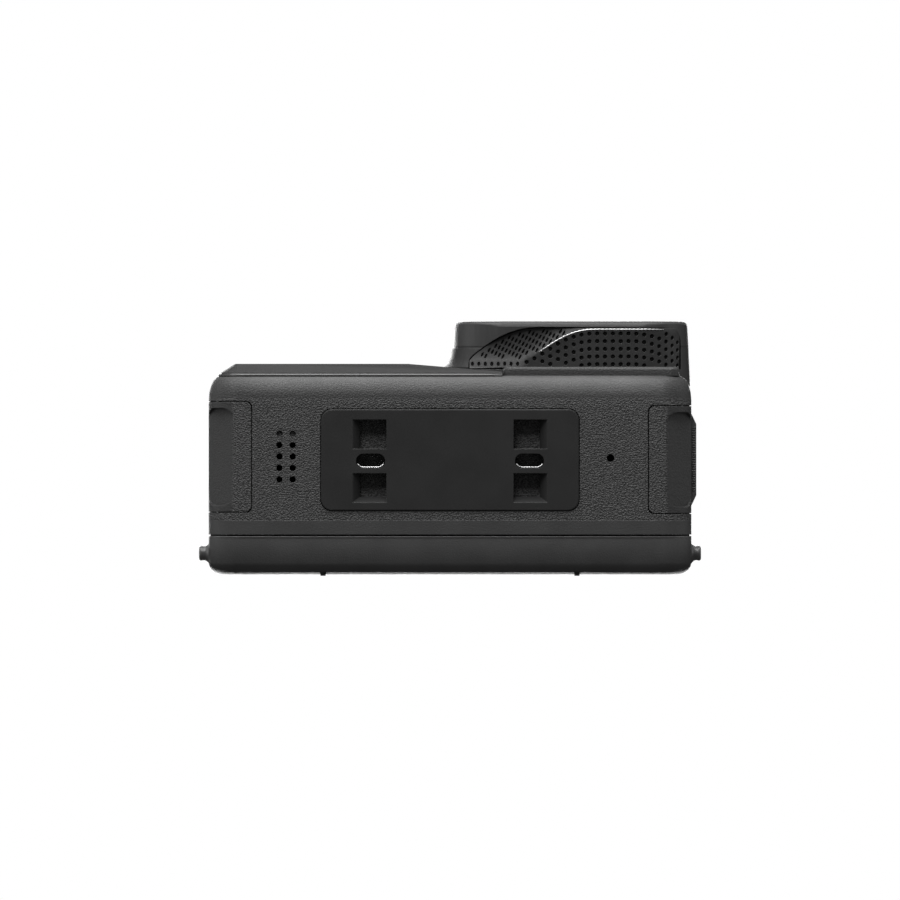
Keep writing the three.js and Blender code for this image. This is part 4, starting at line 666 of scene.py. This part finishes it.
def perforate(polygon, holes):
    """Triangles of a flat polygon with holes, as (points, triangles)."""
    verts = [Vector(p) for p in polygon]
    edges = [(i, (i + 1) % len(polygon)) for i in range(len(polygon))]
    for hole in holes:
        first = len(verts)
        verts += [Vector(p) for p in hole]
        edges += [(first + i, first + (i + 1) % len(hole)) for i in range(len(hole))]
    middles = [middle(hole) for hole in holes]
    free = (1.35 * ROUND_HOLE) ** 2
    s0, s1 = min(p[0] for p in polygon), max(p[0] for p in polygon)
    y0, y1 = min(p[1] for p in polygon), max(p[1] for p in polygon)
    for i in range(1, int((s1 - s0) / GRID) + 1):
        for j in range(1, int((y1 - y0) / GRID) + 1):
            spot = (s0 + i * GRID, y0 + j * GRID)
            if not clear_of([spot], polygon, GRID_CLEAR):
                continue
            if all(gap_squared(spot, mid) >= free for mid in middles):
                verts.append(Vector(spot))
    points, _, faces, _, _, _ = delaunay_2d_cdt(verts, edges, [], 0, 1e-5)
    boxes = [(min(p[0] for p in h), max(p[0] for p in h), h) for h in holes]
    kept = []
    for face in faces:
        mid = sum((points[i] for i in face), Vector((0, 0))) / 3
        if not inside(mid, polygon):
            continue
        if any(low < mid.x < high and inside(mid, hole) for low, high, hole in boxes):
            continue
        kept.append(tuple(face))
    return [(p.x, p.y) for p in points], kept


def key(point):
    return (round(point[0], 3), round(point[1], 3))


def welded(halves):
    """Triangles of both halves with their shared points made one, as
    (points, points rounded, triangles)."""
    points, faces = [], []
    for polygon, holes in halves:
        more_points, more_faces = perforate(polygon, holes)
        first = len(points)
        points += more_points
        faces += [tuple(i + first for i in face) for face in more_faces]
    places = {}
    order = [places.setdefault(key(p), len(places)) for p in points]
    exact = [None] * len(places)
    for index, place in enumerate(order):
        exact[place] = points[index]
    faces = [tuple(order[i] for i in face) for face in faces]
    return exact, list(places), [f for f in faces if len(set(f)) == 3]


def thickened(points, triangles, front, back):
    """Closed shell between two maps of the same flat triangles."""
    count = len(points)
    verts = [front(*p) for p in points] + [back(*p) for p in points]
    faces = [tuple(t) for t in triangles]
    faces += [tuple(i + count for i in reversed(t)) for t in triangles]
    edges = dict.fromkeys(e for a, b, c in triangles for e in ((a, b), (b, c), (c, a)))
    for a, b in edges:
        if (b, a) not in edges:
            faces.append((b, a, a + count, b + count))
    return verts, faces


outline, REACH = sheet_outline()
fold_line = [(SHEET_X0, STRIP_FOLD_Y)] + FOLD
fold_line += [(FOLD[-1][0] + i, CREST_Y) for i in range(1, 40) if FOLD[-1][0] + i < REACH - 0.5]
fold_line.append((REACH, CREST_Y + 0.9))

# The sheet's two halves: the wall ahead of the fold, and the floor behind it
wall = [p for p in outline if p[1] < fold_y(p[0]) - 0.001 and p[0] < REACH - 0.7]
WALL_END = wall[-1][0]
wall_polygon = wall + [p for p in reversed(fold_line)
                       if SHEET_X0 + 0.01 < p[0] < WALL_END + 0.001]
wall_polygon.append((WALL_START, STRIP_FOLD_Y))
floor_polygon = [p for p in fold_line if p[0] < WALL_END + 0.001]
floor_polygon += [p for p in outline if p[0] > WALL_END - 0.001]
floor_polygon += [(REACH, SHEET_REAR_Y), (WALL_START, SHEET_REAR_Y)]

round_holes = []
for column in range(60):
    s = ROUND_FIRST + column * ROUND_PITCH
    if s >= REACH:
        break
    droop = DROOP * max(s - DROOP_FROM, 0.0) ** 2
    for row in range(-3, 8):
        y = fold_y(s) + ROUND_SET + droop + row * ROUND_PITCH * ROUND_ROW
        round_holes.append(ring((s, y), ROUND_HOLE, ROUND_HOLE, 0.0))
for column in range(STRIP_HOLES):
    centre = (STRIP_FIRST[0] + column * STRIP_PITCH, STRIP_FIRST[1])
    round_holes.append(ring(centre, *STRIP_HOLE, 0.0))
taken = []
for hole in round_holes:
    mid = middle(hole)
    if clear_of(hole, floor_polygon, ROUND_MARGIN) and all(
            gap_squared(mid, other) > ROUND_APART ** 2 for other, _ in taken):
        taken.append((mid, hole))
round_holes = [hole for _, hole in taken]

slant_holes = []
for j in range(-4, 14):
    for i in range(-16, 50):
        s = SLANT_FIRST[0] + i * SLANT_ROW[0] + j * SLANT_CHAIN[0]
        y = SLANT_FIRST[1] + i * SLANT_ROW[1] + j * SLANT_CHAIN[1]
        hole = ring((s, y), SLANT_LONG, SLANT_WIDE, SLANT_TURN)
        if clear_of(hole, wall_polygon, SLANT_MARGIN):
            slant_holes.append(hole)

# Each hole's rim on the far side of the sheet
far_rim = {}
for hole in round_holes + slant_holes:
    mid = middle(hole)
    for p in hole:
        far_rim[key(p)] = tuple(m + (c - m) * HOLE_TAPER for c, m in zip(p, mid))


def sheet_front(s, y):
    return on_sheet(s, y, sheet_lift(s, y))


def sheet_back(s, y):
    s, y = far_rim.get(key((s, y)), (s, y))
    return on_sheet(s, y, sheet_lift(s, y) + SHEET_THICK)


sheet_points, _, sheet_faces = welded(((floor_polygon, round_holes), (wall_polygon, slant_holes)))
sheet_mesh = thickened(sheet_points, sheet_faces, sheet_front, sheet_back)
grille = make_mesh("mic_grille_sheet", *sheet_mesh, "camera_body", "grille_metal", "grille")
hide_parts("mic_grille")

# Black acoustic cloth behind the sheet; its near-black tone is also painted shade inside the holes
CLOTH_FRONT = SHEET_THICK + 0.015
CLOTH_BACK = CLOTH_FRONT + 0.05
_, cloth_points, cloth_faces = welded(((floor_polygon, []), (wall_polygon, [])))
cloth_mesh = thickened(
    cloth_points, cloth_faces,
    lambda s, y: on_sheet(s, y, sheet_lift(s, y) + CLOTH_FRONT),
    lambda s, y: on_sheet(s, y, sheet_lift(s, y) + CLOTH_BACK),
)
make_mesh("mic_grille_cloth", *cloth_mesh, "camera_body", "rubber", "cloth")

# Bead where the fold turns into the light, notched by the holes beside it; its shape catches the
# light and its bright metal tone is a painted highlight
BEAD_FROM, BEAD_TO = 13.3, 32.0
BEAD_STEP = 0.09
BEAD_AHEAD = 0.05                     # distance that gives the bead its direction
BEAD_SIDES = 8
BEAD_PITCH = ROUND_PITCH / 2
BEAD_WIDE = (0.05, 0.09)              # half width at its ends, and what is added between them
BEAD_HIGH = 0.07                      # half height
BEAD_SET = 0.02
BEAD_TAPER = (1.2, 2.5)               # lengths over which its two ends narrow


def bead():
    points = []
    steps = int((BEAD_TO - BEAD_FROM) / BEAD_STEP)
    for i in range(steps + 1):
        s = BEAD_FROM + (BEAD_TO - BEAD_FROM) * i / steps
        y = fold_y(s)
        along = Vector((BEAD_AHEAD, fold_y(s + BEAD_AHEAD) - y)).normalized()
        taper = min(1.0, (s - BEAD_FROM) / BEAD_TAPER[0], (BEAD_TO - s) / BEAD_TAPER[1])
        notch = 0.5 + 0.5 * math.cos(2 * math.pi * s / BEAD_PITCH)
        wide = (BEAD_WIDE[0] + BEAD_WIDE[1] * taper) * (0.6 + 0.4 * notch)
        depth = sheet_lift(s, y) - BEAD_SET
        for k in range(BEAD_SIDES):
            a = 2 * math.pi * k / BEAD_SIDES
            across, deep = wide * math.cos(a), BEAD_HIGH * math.sin(a)
            points.append(on_sheet(s - along.y * across, y + along.x * across, depth + deep))
    return points, tube_faces(steps + 1, BEAD_SIDES)


make_mesh("mic_grille_edge", *bead(), "camera_body", "grille_metal", "bare_edge",
          angle=BEAD_ANGLE)


# ------------------------------------------------------------------ further modelled details


def sweep(path, radius, sides=10):
    """Tube along a path of points in millimetres; radius is a function of the share of its
    length."""
    points = []
    last = len(path) - 1
    for i, place in enumerate(path):
        before, after = path[max(i - 1, 0)], path[min(i + 1, last)]
        along = (Vector(after) - Vector(before)).normalized()
        across = Vector((0, 1, 0)) if abs(along.y) < 0.9 else Vector((0, 0, 1))
        side = along.cross(across).normalized()
        up = side.cross(along)
        r = radius(i / last)
        for k in range(sides):
            a = 2 * math.pi * k / sides
            points.append(tuple(Vector(place) + side * r * math.cos(a) + up * r * math.sin(a)))
    return points, tube_faces(len(path), sides)


def turned_x(x_sign, y, z, profile, sides=40):
    """Solid turned about a line along X; the profile lists (x, r) outwards."""
    points = []
    for x, r in profile:
        for k in range(sides):
            a = 2 * math.pi * k / sides
            points.append((x_sign * x, y + r * math.cos(a), z + r * math.sin(a)))
    return points, tube_faces(len(profile), sides)


def tapered(most, ends):
    """Radius that narrows to a point over a share of the length at each end."""
    return lambda t: most * max(0.08, min(1.0, t / ends, (1 - t) / ends))


def prism_y(name, outline, y0, y1, body, slot_name, look):
    """Closed prism over an outline of (x, z) points, between two heights along Y."""
    count = len(outline)
    points = [(x, y0, z) for x, z in outline] + [(x, y1, z) for x, z in outline]
    faces = [tuple(range(count)), tuple(reversed(range(count, 2 * count)))]
    faces += [(i, (i + 1) % count, count + (i + 1) % count, count + i) for i in range(count)]
    return make_mesh(name, points, faces, body, slot_name, look, smooth=False)


QUARTER = math.pi / 2


def rounded_u(reach_x, bottom, top, r):
    """Open U from its left top round the bottom to its right top, as (x, z)."""
    left = arc(-reach_x + r, bottom + r, r, math.pi, QUARTER, 8)
    right = arc(reach_x - r, bottom + r, r, 3 * QUARTER, QUARTER, 8)
    return [(-reach_x, top)] + left + right + [(reach_x, top)]


# Foam lip along the screen's edge, which closes the seam against the rear frame
SCREEN_LOW, SCREEN_HIGH = mm_box("screen_housing")
FRAME_FACE_Y = 11.12                  # rear frame's flat rear face, below its hinge ears
SCREEN_FACE_Y = 11.38                 # and the screen's front face
SEAL_SET = 0.30                       # in from the screen's outline
SEAL_WIDE = 0.8
SEAL_GAP = 0.004
SEAL_SINK = 0.02
SEAL_CORNER = 3.2
SEAL_X = SCREEN_HIGH.x - SEAL_SET
SEAL_Z = SCREEN_LOW.z + SEAL_SET
SEAL_TOP = SCREEN_HIGH.z - 5.2
outer = rounded_u(SEAL_X, SEAL_Z, SEAL_TOP, SEAL_CORNER)
inner = rounded_u(SEAL_X - SEAL_WIDE, SEAL_Z + SEAL_WIDE, SEAL_TOP, SEAL_CORNER - SEAL_WIDE)
prism_y("screen_seal", outer + inner[::-1], FRAME_FACE_Y + SEAL_GAP, SCREEN_FACE_Y + SEAL_SINK,
        "flip_screen", "rubber", "rubber")

# Polished lip round the front cover, where it meets the shell; its round shape catches the front
# light and its pale tone adds a painted highlight
COVER_LOW, COVER_HIGH = mm_box("front_cover")
LIP_Y = -12.63
LIP_R = 0.19
LIP_IN = 0.1
LIP_END_IN = 0.3
LIP_CORNER = 3.6
LIP_STEPS = 30


def cover_edge():
    x0, x1 = COVER_LOW.x + LIP_IN, COVER_HIGH.x - LIP_END_IN
    z0, z1 = COVER_LOW.z + LIP_IN, COVER_HIGH.z - LIP_IN
    corner_x = x0 + LIP_CORNER
    step = (x1 - corner_x) / LIP_STEPS
    path = [(x1 - i * step, z0) for i in range(LIP_STEPS)]
    path += arc(corner_x, z0 + LIP_CORNER, LIP_CORNER, -QUARTER, -QUARTER, 12)
    path += arc(corner_x, z1 - LIP_CORNER, LIP_CORNER, 2 * QUARTER, -QUARTER, 12)
    path += [(corner_x + i * step, z1) for i in range(1, LIP_STEPS + 1)]
    return [(x, LIP_Y, z) for x, z in path]


make_mesh("front_cover_lip", *sweep(cover_edge(), tapered(LIP_R, 0.015)), "camera_body",
          "smooth_plastic", "lip", angle=BEAD_ANGLE)

# Finger studs: round knobs that flare into the screen's sides
STUD_LOW, STUD_HIGH = mm_box("finger_stud_right")
STUD_Y = 13.93
STUD_MID_Z = (STUD_LOW.z + STUD_HIGH.z) / 2
STUD_PROFILE = [  # distance from the stud's end, and radius there
    (-2.9, 1.2), (-1.9, 1.62), (-1.45, 1.55), (-1.3, 1.34), (-1.12, 1.18), (-0.9, 1.09),
    (-0.62, 1.08), (-0.4, 1.12), (-0.22, 1.1), (-0.1, 1.02), (-0.02, 0.86), (0.0, 0.78),
]
for side, name in ((-1, "finger_stud_left"), (1, "finger_stud_right")):
    shape = [(STUD_HIGH.x + x, r) for x, r in STUD_PROFILE]
    knob = make_mesh(name + "_knob", *turned_x(side, STUD_Y, STUD_MID_Z, shape), "flip_screen",
                     "steel", "stud")
    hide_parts(name)

# Polished rims along the mount slots' rear sides, which face the front light; their bright metal
# finish on the plastic plate is a painted highlight
SLOT_MID_Y = 0.17
SLOT_HALF = 1.1                       # half width of a slot, and radius of its ends
SLOT_X = (9.66, 14.0)
RIM_R = 0.15
RIM_FROM_Y = SLOT_MID_Y + 0.25        # the rim ends here
RIM_Z = mm_box("mount_plate")[0].z + RIM_R + 0.04
RIM_TURN = math.radians(-110)
for side, name in ((-1, "left"), (1, "right")):
    bend = SLOT_HALF - RIM_R
    rim = arc(SLOT_X[0] + SLOT_HALF, SLOT_MID_Y, bend, math.radians(200), RIM_TURN, 8)
    rim += arc(SLOT_X[1] - SLOT_HALF, SLOT_MID_Y, bend, QUARTER, RIM_TURN, 8)
    rim = [(side * x, y, RIM_Z) for x, y in rim if y > RIM_FROM_Y]
    make_mesh("mount_slot_rim_" + name, *sweep(rim, tapered(RIM_R, 0.12)), "camera_body",
              "smooth_plastic", "slot_rim", angle=BEAD_ANGLE)

# Fine teeth along the lower edge of the battery door's latch
LATCH_LOW, LATCH_HIGH = mm_box("battery_latch")
TOOTH_PITCH = 0.36
TOOTH_R = 0.11
TOOTH_X = (LATCH_HIGH.x - 0.62, LATCH_HIGH.x - 0.10)
TOOTH_Z = LATCH_LOW.z + 0.01
TOOTH_MARGIN = (2.0, 1.9)             # latch left plain in front of the teeth and behind them
teeth_points, teeth_faces = [], []
tooth_y = LATCH_LOW.y + TOOTH_MARGIN[0]
while tooth_y < LATCH_HIGH.y - TOOTH_MARGIN[1]:
    tooth = [(x, tooth_y, TOOTH_Z) for x in TOOTH_X]
    points, faces = sweep(tooth, lambda t: TOOTH_R, sides=8)
    first = len(teeth_points)
    teeth_points += points
    teeth_faces += [tuple(i + first for i in face) for face in faces]
    tooth_y += TOOTH_PITCH
make_mesh("battery_latch_teeth", teeth_points, teeth_faces, "battery_latch", "smooth_plastic",
          "latch")

# Thin polished edge round the screen's front face; its round shape catches the front light and its
# pale tone adds a painted highlight
EDGE_Y = SCREEN_FACE_Y + 0.09
EDGE_R = 0.14
EDGE_CORNER = 4.1
edge = rounded_u(SCREEN_HIGH.x - 0.13, SCREEN_LOW.z + 0.02, SCREEN_HIGH.z - 6.0, EDGE_CORNER)
edge_path = [(x, EDGE_Y, z) for x, z in edge]
make_mesh("screen_edge", *sweep(edge_path, tapered(EDGE_R, 0.03)), "flip_screen",
          "satin_plastic", "lip", angle=BEAD_ANGLE)

# ------------------------------------------------------------------ stage, light and camera

PICTURE_WIDE = 133.93 * MM     # what the picture takes in at the mount plate
PICTURE_MID_Y = -1.47 * MM
CAMERA_FAR = 5.0               # a long lens, from below
SENSOR = 36.0

camera_data = bpy.data.cameras.new("camera")
camera_data.sensor_width = SENSOR
camera_data.lens = SENSOR * CAMERA_FAR / PICTURE_WIDE
camera_data.clip_start = 0.05
camera_data.clip_end = 10.0
camera = add_object("camera", camera_data)
camera.location = (0.0, PICTURE_MID_Y, -CAMERA_FAR)
camera.rotation_euler = (math.pi, 0.0, 0.0)      # looks along +Z with -Y up in the picture
bpy.context.scene.camera = camera

MIDDLE = Vector((0.0, 0.0, 0.02))                # what the lamps point at


def softbox(name, place, wide, tall, watts):
    data = bpy.data.lights.new(name, "AREA")
    data.shape = "RECTANGLE"
    data.size = wide
    data.size_y = tall
    data.energy = watts
    lamp = add_object(name, data)
    lamp.location = place
    lamp.rotation_euler = (MIDDLE - Vector(place)).to_track_quat("-Z", "Y").to_euler()
    lamp.visible_camera = False


softbox("key_front", (-0.06, -0.75, -0.15), 0.8, 0.55, 8.2)
softbox("front_low", (-0.10, -0.50, -0.46), 0.2, 0.2, 2.1)
softbox("top", (-0.10, -0.10, 0.95), 0.6, 0.6, 9.0)
softbox("rear_high", (-0.05, 0.35, 0.90), 0.5, 0.4, 4.0)
softbox("side_left", (-0.70, -0.15, -0.02), 0.4, 0.3, 0.5)
softbox("side_right", (0.70, -0.10, -0.02), 0.3, 0.3, 0.3)

# The background is white. The world lights the object evenly and gently; its reflections show
# a white surround near the horizon, dimmer above, below, at the sides and behind.
AMBIENT = 0.24
WHITE = (1.0, 1.0, 1.0, 1.0)
DIM_SURROUND = 0.12
DIM_SIDE = 0.12
SURROUND_RISE = (0.25, 0.85)          # height in a direction over which it dims
SURROUND_TURN = (-0.35, 0.7)          # share of the front in a direction over which it brightens
FRONT_ACROSS, FRONT_DEEP = -0.12, -0.95

world = bpy.data.worlds.new("studio")
bpy.context.scene.world = world
w = Tree(world)
across, deep, up = w.axes(w.add("ShaderNodeTexCoord").outputs["Generated"])
rays = w.add("ShaderNodeLightPath").outputs
glossy = rays["Is Glossy Ray"]
seen = w.math("MAXIMUM", rays["Is Camera Ray"], glossy)
seen = w.math("MAXIMUM", seen, rays["Is Transmission Ray"])
ambient = w.add("ShaderNodeBackground", {"Color": WHITE, "Strength": AMBIENT})
level = w.fit(w.math("ABSOLUTE", up), *SURROUND_RISE, 1.0, DIM_SURROUND)
front = w.math("ADD", w.times(across, FRONT_ACROSS), w.times(deep, FRONT_DEEP))
level = w.times(level, w.fit(front, *SURROUND_TURN, DIM_SIDE, 1.0))
surround = w.math("MAXIMUM", level, w.math("SUBTRACT", 1.0, glossy))
white = w.add("ShaderNodeBackground", {"Color": WHITE, "Strength": surround})
w.show(w.mixed(seen, ambient, white), "ShaderNodeOutputWorld")

# The floor is seen from above only, so that the underside can be seen and lit through it. It
# fades into the white background around the object.
FLOOR_HALF = 0.2
FLOOR_Z = -0.05 * MM
FLOOR_FADE = (55 * MM, 120 * MM)      # distance from the object's middle

floor_material, f = material("floor", grey(0.9))
to_camera = f.add("ShaderNodeLightPath").outputs["Is Camera Ray"]
behind = f.add("ShaderNodeNewGeometry").outputs["Backfacing"]
shown = f.times(to_camera, f.math("SUBTRACT", 1.0, behind))
distance = f.add("ShaderNodeVectorMath", {0: f.position()}, operation="LENGTH").outputs["Value"]
shown = f.times(shown, f.fit(distance, *FLOOR_FADE, 1.0, 0.0))
pale = f.add("ShaderNodeBsdfDiffuse", {"Color": grey(0.9)})
clear = f.add("ShaderNodeBsdfTransparent")
f.show(f.mixed(shown, clear, pale))

floor_mesh = bpy.data.meshes.new("floor")
square = ((-1, -1), (1, -1), (1, 1), (-1, 1))
corners = [(x * FLOOR_HALF, y * FLOOR_HALF, FLOOR_Z) for x, y in square]
floor_mesh.from_pydata(corners, [], [(0, 1, 2, 3)])
floor_mesh.materials.append(floor_material)
add_object("floor", floor_mesh)

bpy.context.scene.view_settings.view_transform = "Standard"
